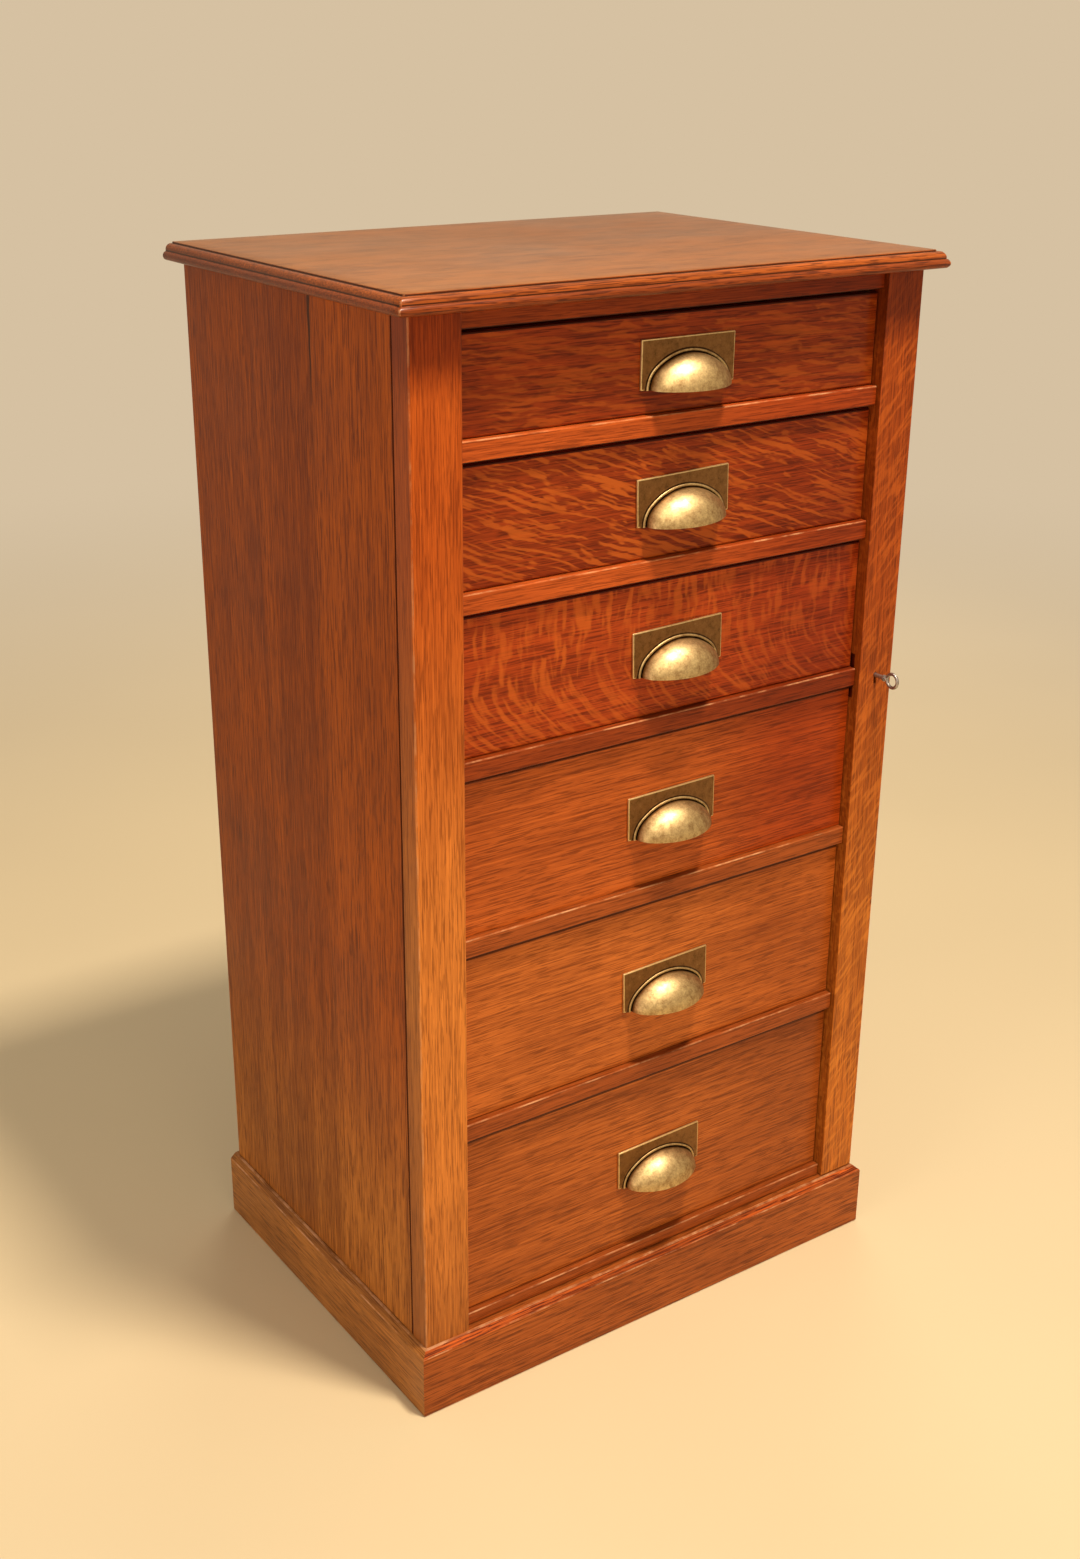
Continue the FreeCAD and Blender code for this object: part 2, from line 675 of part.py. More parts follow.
def make_hinges():
    """Three brass butt hinges: fixed leaves, flap leaves, pins and countersunk screws."""
    found = {"fixed": [], "flap": [], "pins": [], "fixed_screws": [], "flap_screws": [],
             "fixed_recess": [], "flap_recess": []}
    leaf_y = {
        "fixed": ("flap_seat", "flap_seat + leaf_thickness"),
        "flap": ("stile_back - leaf_thickness", "stile_back"),
    }
    screw_y = {
        "fixed": ("flap_seat", 1),
        "flap": ("stile_back", -1),
    }
    across = {"x": "hinge_x", "y": "hinge_y"}
    leaf_x = ("right_face - leaf_width", "right_face")
    run = "flap_top - flap_bottom - 2 * hinge_inset - hinge_height"
    knuckle = f"hinge_height / {KNUCKLE_COUNT}"
    for index in range(HINGE_COUNT):
        low = f"flap_bottom + hinge_inset + ({run}) * {index / (HINGE_COUNT - 1)}"
        high = f"{low} + hinge_height"
        found["pins"].append(rod(f"hinge_pin_{index + 1}", "pin_radius", "z", low, high, **across))
        bore = rod(f"hinge_bore_{index + 1}", "pin_radius + pin_clearance", "z", low, high, **across)
        for kind, parity in (("fixed", 0), ("flap", 1)):
            tag = f"hinge_{index + 1}_{kind}"
            plate = block(tag + "_plate", leaf_x, leaf_y[kind], (low, high))
            found[kind + "_recess"].append(plate)
            parts = [plate]
            for turn in range(parity, KNUCKLE_COUNT, 2):
                span = (f"{low} + {turn} * {knuckle} + knuckle_gap / 2",
                        f"{low} + {turn + 1} * {knuckle} - knuckle_gap / 2")
                parts.append(block(f"{tag}_neck_{turn}", ("right_face", "hinge_x"), leaf_y[kind], span))
                parts.append(rod(f"{tag}_knuckle_{turn}", "barrel_radius", "z", *span, **across))
            screws = []
            start, sign = screw_y[kind]
            for step in range(SCREWS_PER_LEAF):
                spot = {"x": "hinge_screw_x", "y": start,
                        "z": f"{low} + hinge_height * {(step + 0.5) / SCREWS_PER_LEAF}"}
                screws.append(make_hinge_screw(f"{tag}_screw_{step + 1}", spot, sign))
            found[kind + "_screws"] += screws
            found[kind].append(cut(tag + "_leaf", fuse(tag + "_blank", *parts), bore, *screws))
    node(group("hinge_leaves_fixed", found["fixed"]))
    node(group("hinge_pins", found["pins"]))
    node(group("hinge_screws_fixed", found["fixed_screws"]))
    node(group("hinge_leaves_flap", found["flap"]))
    node(group("hinge_screws_flap", found["flap_screws"]))
    return found


def make_hinge_screw(name, spot, sign):
    """A countersunk wood screw that goes into the wood towards plus or minus Y."""
    into = Rotation(Vector(1, 0, 0), -RIGHT_ANGLE * sign)
    head = doc.addObject("Part::Cone", name + "_head")
    head.setExpression("Radius1", on_sheet("hinge_screw_head_radius"))
    head.setExpression("Radius2", on_sheet("hinge_screw_radius"))
    head.setExpression("Height", on_sheet("leaf_thickness"))
    shank = doc.addObject("Part::Cylinder", name + "_shank")
    shank.setExpression("Radius", on_sheet("hinge_screw_radius"))
    shank.setExpression("Height", on_sheet("hinge_screw_length"))
    for piece in (head, shank):
        piece.Placement = Placement(Vector(), into)
        place(piece, **spot)
    return fuse(name, head, shank)


def make_flap_and_lock(hinges):
    """The hinged flap with its mortised lock, the bolt that the key throws, and the key."""
    lock_x = ("flap_edge", "lock_far")
    lock_z = ("key_z - lock_height / 2", "key_z + lock_height / 2")
    case = block("lock_blank", lock_x, ("lock_front", "lock_back"), lock_z)
    hollow = block(
        "lock_hollow",
        ("flap_edge + lock_wall", "lock_far - lock_wall"),
        ("lock_front + lock_wall", "lock_back - lock_wall"),
        ("key_z - lock_height / 2 + lock_wall", "key_z + lock_height / 2 - lock_wall"),
    )
    bolt_z = ("key_z - bolt_height / 2", "key_z + bolt_height / 2")
    bolt_slot = block(
        "bolt_slot",
        ("flap_edge", "flap_edge + lock_wall"),
        ("bolt_front - bolt_clearance", "bolt_back + bolt_clearance"),
        (f"{bolt_z[0]} - bolt_clearance", f"{bolt_z[1]} + bolt_clearance"),
    )
    axis = {"x": "key_x", "z": "key_z"}
    lock_inner_front = "lock_front + lock_wall"
    round_hole = rod("keyhole_round", "shank_radius + keyhole_clearance", "y",
                     "front_plane", lock_inner_front, **axis)
    slot_half = "bit_thickness / 2 + keyhole_clearance"
    slot = block("keyhole_slot", (f"key_x - ({slot_half})", f"key_x + {slot_half}"),
                 ("front_plane", lock_inner_front), ("key_z - bit_length - keyhole_clearance", "key_z"))
    keyhole = fuse("keyhole", round_hole, slot)
    pivot = rod("key_pivot", "shank_radius + shank_clearance", "y",
                "lock_back - lock_wall", "lock_back", **axis)
    board = block("flap_board", ("flap_edge", "right_face"), ("front_plane", "stile_back"),
                  ("flap_bottom", "flap_top"))
    node(cut("flap", board, case, keyhole, *hinges["flap_recess"], *hinges["flap_screws"]))
    node(cut("lock_case", case, hollow, bolt_slot, keyhole, pivot))
    node(block("lock_bolt", ("bolt_nose", "bolt_nose + bolt_length"), ("bolt_front", "bolt_back"), bolt_z))
    bow_seat = "front_plane - shank_reach"
    shank = rod("key_shank", "shank_radius", "y", bow_seat, "lock_back", **axis)
    collar_end = "front_plane - collar_setback"
    collar = rod("key_collar", "collar_radius", "y", f"{collar_end} - collar_width", collar_end, **axis)
    bit = block("key_bit", ("key_x - bit_thickness / 2", "key_x + bit_thickness / 2"),
                ("bit_front", "bit_back"), ("key_z - bit_length", "key_z"))
    bow = doc.addObject("Part::Torus", "key_bow")
    bow.Placement = Placement(Vector(), AXES["x"])
    bow.setExpression("Radius1", on_sheet("bow_radius"))
    bow.setExpression("Radius2", on_sheet("bow_wire"))
    place(bow, x="key_x", y=f"{bow_seat} - bow_radius", z="key_z")
    node(fuse("key", shank, collar, bit, bow))


make_top()
right_board, rebate_cutter = make_sides_and_back()
rail_tenons = make_rails()
make_uprights(rail_tenons)
make_inner_frame()
make_plinth()
hinge_pieces = make_hinges()
hinge_seats = hinge_pieces["fixed_recess"] + hinge_pieces["fixed_screws"]
node(cut("right_side", right_board, rebate_cutter, *hinge_seats))
make_flap_and_lock(hinge_pieces)
for drawer, tail_total in zip(DRAWERS, TAILS_PER_CORNER):
    make_drawer(drawer, tail_total)
doc.recompute()

for piece in doc.Objects:
    if "Invalid" in piece.State or "Error" in piece.State:
        raise RuntimeError(f"{piece.Label} did not build: {piece.State}")
for piece in nodes:
    if piece.Shape.isNull() or not piece.Shape.isValid() or not piece.Shape.Solids:
        raise RuntimeError(f"{piece.Label} is not a valid solid")

os.makedirs("parts", exist_ok=True)
for piece in nodes:
    piece.Shape.exportStep(f"parts/{piece.Label}.step")
print(f"{len(nodes)} parts written")
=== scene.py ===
import json
import math
from typing import NamedTuple

import bmesh
import bpy
from mathutils import Matrix, Vector, noise

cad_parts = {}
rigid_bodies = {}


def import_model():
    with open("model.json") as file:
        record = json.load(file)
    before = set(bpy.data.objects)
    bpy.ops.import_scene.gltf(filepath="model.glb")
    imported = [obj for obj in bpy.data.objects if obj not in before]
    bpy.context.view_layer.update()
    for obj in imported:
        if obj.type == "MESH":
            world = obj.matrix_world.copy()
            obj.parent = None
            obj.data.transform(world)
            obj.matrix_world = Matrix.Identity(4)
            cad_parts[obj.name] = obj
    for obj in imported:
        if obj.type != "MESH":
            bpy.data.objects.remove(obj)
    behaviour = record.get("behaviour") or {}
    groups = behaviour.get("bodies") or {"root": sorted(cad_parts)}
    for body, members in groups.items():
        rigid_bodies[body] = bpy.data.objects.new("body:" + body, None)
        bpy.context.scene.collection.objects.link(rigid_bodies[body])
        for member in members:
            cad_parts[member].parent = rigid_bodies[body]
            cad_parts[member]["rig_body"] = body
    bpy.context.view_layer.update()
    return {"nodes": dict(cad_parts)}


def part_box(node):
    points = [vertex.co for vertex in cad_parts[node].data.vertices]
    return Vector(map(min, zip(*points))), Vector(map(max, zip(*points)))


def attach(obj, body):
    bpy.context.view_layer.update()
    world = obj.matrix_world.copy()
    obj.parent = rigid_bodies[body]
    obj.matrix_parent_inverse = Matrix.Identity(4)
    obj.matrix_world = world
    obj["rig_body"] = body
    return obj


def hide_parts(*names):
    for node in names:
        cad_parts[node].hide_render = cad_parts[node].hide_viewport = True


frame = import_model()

bl_info = {
    "name": "Wellington chest",
    "version": (1, 0, 0),
    "blender": (4, 5, 0),
    "location": "3D View > Sidebar > Chest",
    "description": "Dresses an oak wellington chest with polish, brass cup pulls, a lock and a key",
    "category": "Object",
}

MM = 0.001
DRAWERS = range(1, 7)

# Points of a mesh that are nearer than this are one point
MERGE = 0.005 * MM

# How squarely a face has to look some way, on a rounded edge and on a flat side
FACING = 0.7
FLAT = 0.98
LEFT = Vector((-1, 0, 0))
FRONT_LEFT = Vector((-1, -1, 0)).normalized()
FRONT_RIGHT = Vector((1, -1, 0)).normalized()
BACK_LEFT = Vector((-1, 1, 0)).normalized()
BACK_RIGHT = Vector((1, 1, 0)).normalized()
FRONT_UP = Vector((0, -1, 1)).normalized()
FRONT_DOWN = Vector((0, -1, -1)).normalized()

# Ways that the upper edge of the plinth's chamfer faces, where its pale rubbed arris is partly wear and
# partly a painted highlight
CHAMFER_FRONT = Vector((0, -0.3, 0.95))
CHAMFER_LEFT = Vector((-0.3, 0, 0.95))
CHAMFER_RIGHT = Vector((0.3, 0, 0.95))

# Turns that bring a board's fibres onto the X axis of its grain
FIBRES = {"X": (0, 0, 0), "Y": (0, 0, -math.pi / 2), "Z": (0, math.pi / 2, 0)}

# Share of each kind of mark in the tone of oak, and the tone where every mark is at its middle
BANDS, STREAKS, HAIRS, CLOUDS = 0.7, 1.0, 1.6, 0.7
PLAIN_TONE = 0.58

# Strength of the relief, and the least and the greatest roughness, of waxed and of bare wood
WAXED = (0.16, 0.30, 0.42)
BARE = (0.35, 0.62, 0.75)

# Dirt on the brass, from below 0 where it is rubbed bright to 1 where it has settled: on the crest
# and the foot of the bead and its fillet, the edge and the face of the plate, and each length of a rod
# The fillet's dark band round the bead is partly dirt and partly painted shade
BEAD_DIRT, FILLET_DIRT_AND_SHADE, PLATE_DIRT = (0.15, 0.9), (1.0, 0.6), (-0.15, 0.6)
POST_DIRT, SHANK_DIRT, HEAD_DIRT = 0.8, 0.5, 0.3

# Steps round the end of the dome's arch and of the bead's, over the dome, and sides of bead and rods
DOME_END, BEAD_END, DOME_RISE = 8, 10, 24
BEAD_SIDES, ROD_SIDES = 14, 24

# Settings of the nodes that lay one colour over another, and of masks with soft ends
COLOUR_MIX = {"out": 2, "data_type": "RGBA"}
SOFT = {"interpolation_type": "SMOOTHSTEP"}

# A spin that stops short of a full turn
PART_TURN = {"dvec": (0, 0, 0), "use_merge": False, "use_normal_flip": False, "use_duplicate": False}


class LightFade(NamedTuple):
    """Painted light or shade along an axis, from none at start to a gain in red, green and blue at end."""

    axis: str
    start: float
    end: float
    gain: tuple


class Rays(NamedTuple):
    """Ray fleck of quarter-sawn oak, with its sizes in millimetres.

    turn is its lean, low and high say which part of its noise shows, and below a level the rays may
    bend aside.
    """

    turn: float
    long: float
    thin: float
    wander: float
    low: float
    high: float
    strength: float
    colour: list
    bend: float = 0.0
    level: float = 0.0


class Boards(NamedTuple):
    """Boards glued side by side along an axis.

    Each seam has its place and the change of tone beyond it, and line is how dark the seams show.
    """

    axis: str
    seams: tuple
    line: float


class Split(NamedTuple):
    """Shrinkage split in an upright side board, closed at its foot and widest at its head."""

    y: float
    foot: float
    head: float
    width: float


class Lamp(NamedTuple):
    """Area lamp of the stage, and whether it lights surfaces and shows in reflections."""

    name: str
    place: tuple
    target: tuple
    wide: float
    tall: float
    power: float
    tint: str
    lights: bool
    mirrors: bool


# The fills stay out of reflections, and the glint and the glow give the brass its highlights alone
LAMPS = (
    Lamp("key_spot", (0.12, -0.85, 3.00), (0.0, -0.15, 0.5), 0.3, 0.3, 84.0, "#fff0dc", True, True),
    Lamp("front_softbox", (-0.2, -2.1, 2.1), (0.0, 0.0, 0.5), 1.4, 1.0, 4.0, "#fff0dc", True, True),
    Lamp("front_fill", (-0.7, -2.6, 0.60), (0.0, 0.0, 0.25), 1.8, 0.8, 19.0, "#ffdca6", True, False),
    Lamp("side_fill", (-2.4, -0.5, 1.0), (0.0, 0.0, 0.4), 1.4, 1.4, 17.0, "#fff4ea", True, False),
    Lamp("window_glint", (-1.95, -0.62, 0.50), (0.0, -0.2, 0.7), 0.45, 0.8, 4.0, "#fff0e4", False, True),
    Lamp("back_fill", (1.9, 2.3, 1.7), (0.0, 0.0, 0.4), 1.6, 1.4, 26.0, "#fff4ea", True, False),
    Lamp("broad_glow", (-1.2, -1.6, 2.3), (0.0, -0.2, 0.6), 1.9, 1.5, 20.0, "#fff2dc", False, True),
)
ROOM_TINT, ROOM_LEVEL = "#fff6ea", 0.3

# Half the floor's side, and the distances in metres between which it fades into the backdrop
FLOOR_REACH = 400.0
FADE_START, FADE_END = 0.9, 3.6

# The camera's place and axes, and its lens for a picture 36 mm high
CAMERA_PLACE = (-0.97894, -1.37207, 1.20246)
CAMERA_RIGHT = Vector((0.820862, -0.571072, 0.007929))
CAMERA_UP = Vector((0.210227, 0.315031, 0.925505))
LENS, PICTURE_HEIGHT = 43.1, 36.0


def linear(hex_colour):
    """Linear RGBA of an sRGB hex colour."""
    channels = [int(hex_colour[at:at + 2], 16) / 255 for at in (1, 3, 5)]
    return [c / 12.92 if c <= 0.04045 else ((c + 0.055) / 1.055) ** 2.4 for c in channels] + [1.0]


def tinted(shade, strength, warmth=0.0):
    """A colour made darker or lighter, and redder with warmth."""
    red, green, blue = shade[:3]
    gains = ((red, strength), (green, strength * (1 - warmth)), (blue, strength * (1 - 1.6 * warmth)))
    return [min(1.0, channel * gain) for channel, gain in gains] + [1.0]


def colour(name, description, hex_colour):
    """A colour that the user can change in the sidebar."""
    return bpy.props.FloatVectorProperty(
        name=name, description=description, default=linear(hex_colour), size=4, min=0.0, max=1.0,
        subtype="COLOR",
    )


def length(name, description, millimetres):
    """A length that the user can change in the sidebar."""
    return bpy.props.FloatProperty(
        name=name, description=description, default=millimetres * MM, min=0.0, unit="LENGTH", precision=4,
    )


class ChestColours(bpy.types.PropertyGroup):
    """Stains, bare woods and metals of the chest."""

    top: colour("Top", "Stained and polished oak of the top board", "#81481f")
    moulding: colour("Moulding", "Stained and polished oak of the top's moulded edge", "#8c4214")
    side: colour("Sides", "Stained and polished oak of the side boards", "#943d06")
    stile: colour("Stile", "Polished oak of the fixed stile", "#af4f16")
    flap: colour("Flap", "Polished oak of the locking flap", "#964010")
    pale_rail: colour("Pale rails", "Polished oak of the upper two rails between drawers", "#a84a1a")
    dark_rail: colour("Dark rails", "Dark polished oak of the top rail and the lower rails", "#82340f")
    figured: colour("Figured fronts", "Quarter-sawn oak of the upper drawer fronts", "#84300c")
    fleck: colour("Ray fleck", "Pale medullary rays in quarter-sawn oak", "#b4581c")
    plain: colour("Plain fronts", "Straight-grained oak of the lower drawer fronts", "#ae531d")
    plinth: colour("Plinth", "Darker polished oak of the plinth", "#964b1b")
    worn: colour("Worn arris", "Oak where handling has taken the stain off", "#cb9468")
    lining: colour("Drawer lining", "Planed and unpolished oak of the drawer boxes", "#b38a58")
    pine: colour("Pine", "Bare pine of the back and the runners", "#b08450")
    brass: colour("Brass", "Burnished cast brass", "#dcc28c")
    patina: colour("Brass patina", "Brown patina on brass that is not rubbed", "#866039")
    recess: colour("Brass recesses", "Dark dirt in the grooves of the brass", "#24180d")
    steel: colour("Steel", "Dull handled steel of the key and the bolt", "#b3adaa")
    browned: colour("Browned steel", "Oil-browned steel of the lock case", "#6a3318")
    floor: colour("Floor", "Plain pale floor of the stage", "#dcc8a0")
    backdrop: colour("Backdrop", "Plain pale tone that the floor fades into", "#d6c1a2")


class ChestSizes(bpy.types.PropertyGroup):
    """Small sizes that finish the chest's pieces."""

    arris: length("Arris", "Rounding on the edges of the polished boards", 1.0)
    front_arris: length("Front arris", "Rounding on the edges of the drawer fronts", 1.6)
    joint_arris: length("Joint arris", "Rounding where the stile meets the left side", 1.3)
    plinth_arris: length("Plinth arris", "Rounding on the edges of the plinth", 1.4)
    lining_arris: length("Lining arris", "Rounding on the edges of the drawer linings", 0.6)
    back_arris: length("Back arris", "Rounding along the joints of the back boards", 1.2)
    metal_arris: length("Metal arris", "Rounding on the edges of plates and leaves", 0.3)
    top_arris: length("Top arris", "Rounding round the top's flat surface", 0.5)
    mitre_arris: length("Mitre arris", "Wear on the front corners of the top's moulding", 1.3)
    sway: length("Hand-work", "How far the top's moulded edge strays from a straight line", 0.22)
    quirk: length("Quirk depth", "Step between the top's surface and its ovolo", 1.4)
    quirk_ledge: length("Quirk ledge", "Width of the ledge beside the ovolo", 1.6)
    ovolo: length("Ovolo radius", "Radius of the quarter round on the top's edge", 5.2)
    nose_gap: length("Nose gap", "Fillet between the ovolo and the nose", 1.2)
    nose_return: length("Nose return", "Depth of the rounded nose below the ovolo", 3.0)
    cup_half_width: length("Cup half width", "Half the width of a pull's cup", 41.0)
    cup_height: length("Cup height", "Rise and reach of a pull's cup", 27.5)
    cup_end: length("Cup end radius", "Radius of the arch at the ends of a cup", 20.0)
    cup_wall: length("Cup wall", "Thickness of the casting", 2.0)
    bead: length("Bead radius", "Radius of the bead round a cup", 1.4)
    bead_gap: length("Bead gap", "Groove between the cup and its bead", 0.5)
    fillet: length("Bead fillet", "Half the width of the cast fillet under the bead", 3.6)
    plate_arris: length("Plate arris", "Rounding on the edges of a pull's backplate", 0.9)
    post: length("Post radius", "Radius of the posts cast behind a pull", 4.0)
    post_length: length("Post length", "Reach of the posts into the drawer front", 9.0)
    post_offset: length("Post offset", "Distance of each post from the middle of a pull", 32.0)
    post_height: length("Post height", "Height of the posts above a pull's foot", 20.5)
    screw: length("Screw radius", "Radius of the screws that hold a pull", 2.0)
    screw_head: length("Screw head radius", "Radius of the heads of the screws that hold a pull", 4.2)
    screw_depth: length("Screw head depth", "Thickness of the heads of those screws", 2.4)
    screw_slot: length("Screw slot", "Width of the slot in a screw's head", 1.0)


def chosen(context):
    """The colours and the sizes that are set in the sidebar."""
    return context.scene.chest_colours, context.scene.chest_sizes


def start_material(name):
    """A new material and its empty node tree."""
    material = bpy.data.materials.new(name)
    material.use_nodes = True
    material.node_tree.nodes.clear()
    return material, material.node_tree


def add(tree, kind, inputs, out=0, **settings):
    """Add a shader node with its settings and a value or a link on each input, and give an output.

    Inputs 1 to 4 of a map range are the ends that it maps from and to, 0 and 1 unless they are given.
    Inputs 0, 6 and 7 of a colour mix are its factor and its two colours.
    """
    step = tree.nodes.new("ShaderNode" + kind)
    for name, value in settings.items():
        setattr(step, name, value)
    for socket, value in inputs.items():
        if isinstance(value, bpy.types.NodeSocket):
            tree.links.new(value, step.inputs[socket])
        else:
            step.inputs[socket].default_value = value
    return step.outputs[out] if len(step.outputs) else None


def grain_marks(tree, fibre, long, thin, look):
    """Marks drawn out along the fibres, from their length and their width in millimetres."""
    cells = (1 / (long * MM), 1 / (thin * MM), 1 / (thin * MM))
    stretched = add(tree, "VectorMath", {0: fibre, 1: cells}, operation="MULTIPLY")
    return add(tree, "TexNoise", {"Vector": stretched, "Scale": 1.0, **look}, out="Fac")


def glued_boards(tree, fibre, across, boards):
    """Give each glued board grain of its own, and find its change of tone and the dark seams."""
    tone = seams = 0.0
    for seam, shift in boards.seams:
        beyond = add(tree, "Math", {0: across, 1: seam}, operation="GREATER_THAN")
        other_tree = add(tree, "VectorMath", {0: (0.31, 0.57, 0.83), "Scale": beyond}, operation="SCALE")
        fibre = add(tree, "VectorMath", {0: fibre, 1: other_tree}, operation="ADD")
        tone = add(tree, "Math", {0: beyond, 1: shift, 2: tone}, operation="MULTIPLY_ADD")
        away = add(tree, "Math", {0: across, 1: seam}, operation="SUBTRACT")
        away = add(tree, "Math", {0: away}, operation="ABSOLUTE")
        line = add(tree, "MapRange", {0: away, 1: 0.2 * MM, 2: 0.9 * MM, 3: boards.line, 4: 0.0})
        seams = add(tree, "Math", {0: line, 1: seams}, operation="MAXIMUM")
    return fibre, tone, seams


def ray_fleck(tree, spot, height, origin, rays):
    """Mask of the rays, which show as pale tapering ribbons that wander, more in some patches."""
    wave = {"Scale": 1 / (48 * MM), "Detail": 3.0, "Roughness": 0.55}
    drift = add(tree, "TexNoise", {"Vector": spot, **wave}, out="Color")
    drift = add(tree, "VectorMath", {0: drift, 1: (0.5, 0.5, 0.5)}, operation="SUBTRACT")
    drift = add(tree, "VectorMath", {0: drift, "Scale": rays.wander * MM}, operation="SCALE")
    flow = add(tree, "VectorMath", {0: spot, 1: drift}, operation="ADD")
    if rays.bend:
        # Below a level the rays swing aside, further and further
        drop = add(tree, "Math", {0: rays.level, 1: height}, operation="SUBTRACT")
        drop = add(tree, "Math", {0: drop, 1: 0.0}, operation="MAXIMUM")
        swing = add(tree, "Math", {0: drop, 1: drop}, operation="MULTIPLY")
        aside = add(tree, "VectorMath", {0: (rays.bend, 0, 0), "Scale": swing}, operation="SCALE")
        flow = add(tree, "VectorMath", {0: flow, 1: aside}, operation="SUBTRACT")
    flow = add(tree, "Mapping", {"Vector": flow, "Rotation": (0, rays.turn, 0), "Location": origin})
    ray = grain_marks(tree, flow, rays.long, rays.thin, {"Detail": 1.0, "Roughness": 0.4})
    ray = add(tree, "MapRange", {0: ray, 1: rays.low, 2: rays.high}, **SOFT)
    patch = add(tree, "TexNoise", {"Vector": spot, "Scale": 1 / (70 * MM), "Detail": 2.0}, out="Fac")
    faint = 0.65 * rays.strength
    patch = add(tree, "MapRange", {0: patch, 1: 0.34, 2: 0.56, 3: faint, 4: rays.strength}, **SOFT)
    return add(tree, "Math", {0: ray, 1: patch}, operation="MULTIPLY")


def shrinkage_split(tree, spot, place, split):
    """Mask of a split along the grain, which sways about every 22 mm."""
    away = add(tree, "Math", {0: place["Y"], 1: split.y}, operation="SUBTRACT")
    sway = add(tree, "TexNoise", {"Vector": spot, "Scale": 45.0, "Detail": 2.0}, out="Fac")
    away = add(tree, "Math", {0: sway, 1: 2.4 * MM, 2: away}, operation="MULTIPLY_ADD")
    away = add(tree, "Math", {0: away}, operation="ABSOLUTE")
    wide = add(tree, "MapRange", {0: place["Z"], 1: split.foot, 2: split.head, 3: 0.0, 4: split.width})
    inside = add(tree, "Math", {0: wide, 1: away}, operation="SUBTRACT")
    return add(tree, "MapRange", {0: inside, 1: -0.5 * MM, 2: 0.2 * MM, 3: 0.0, 4: 0.9})


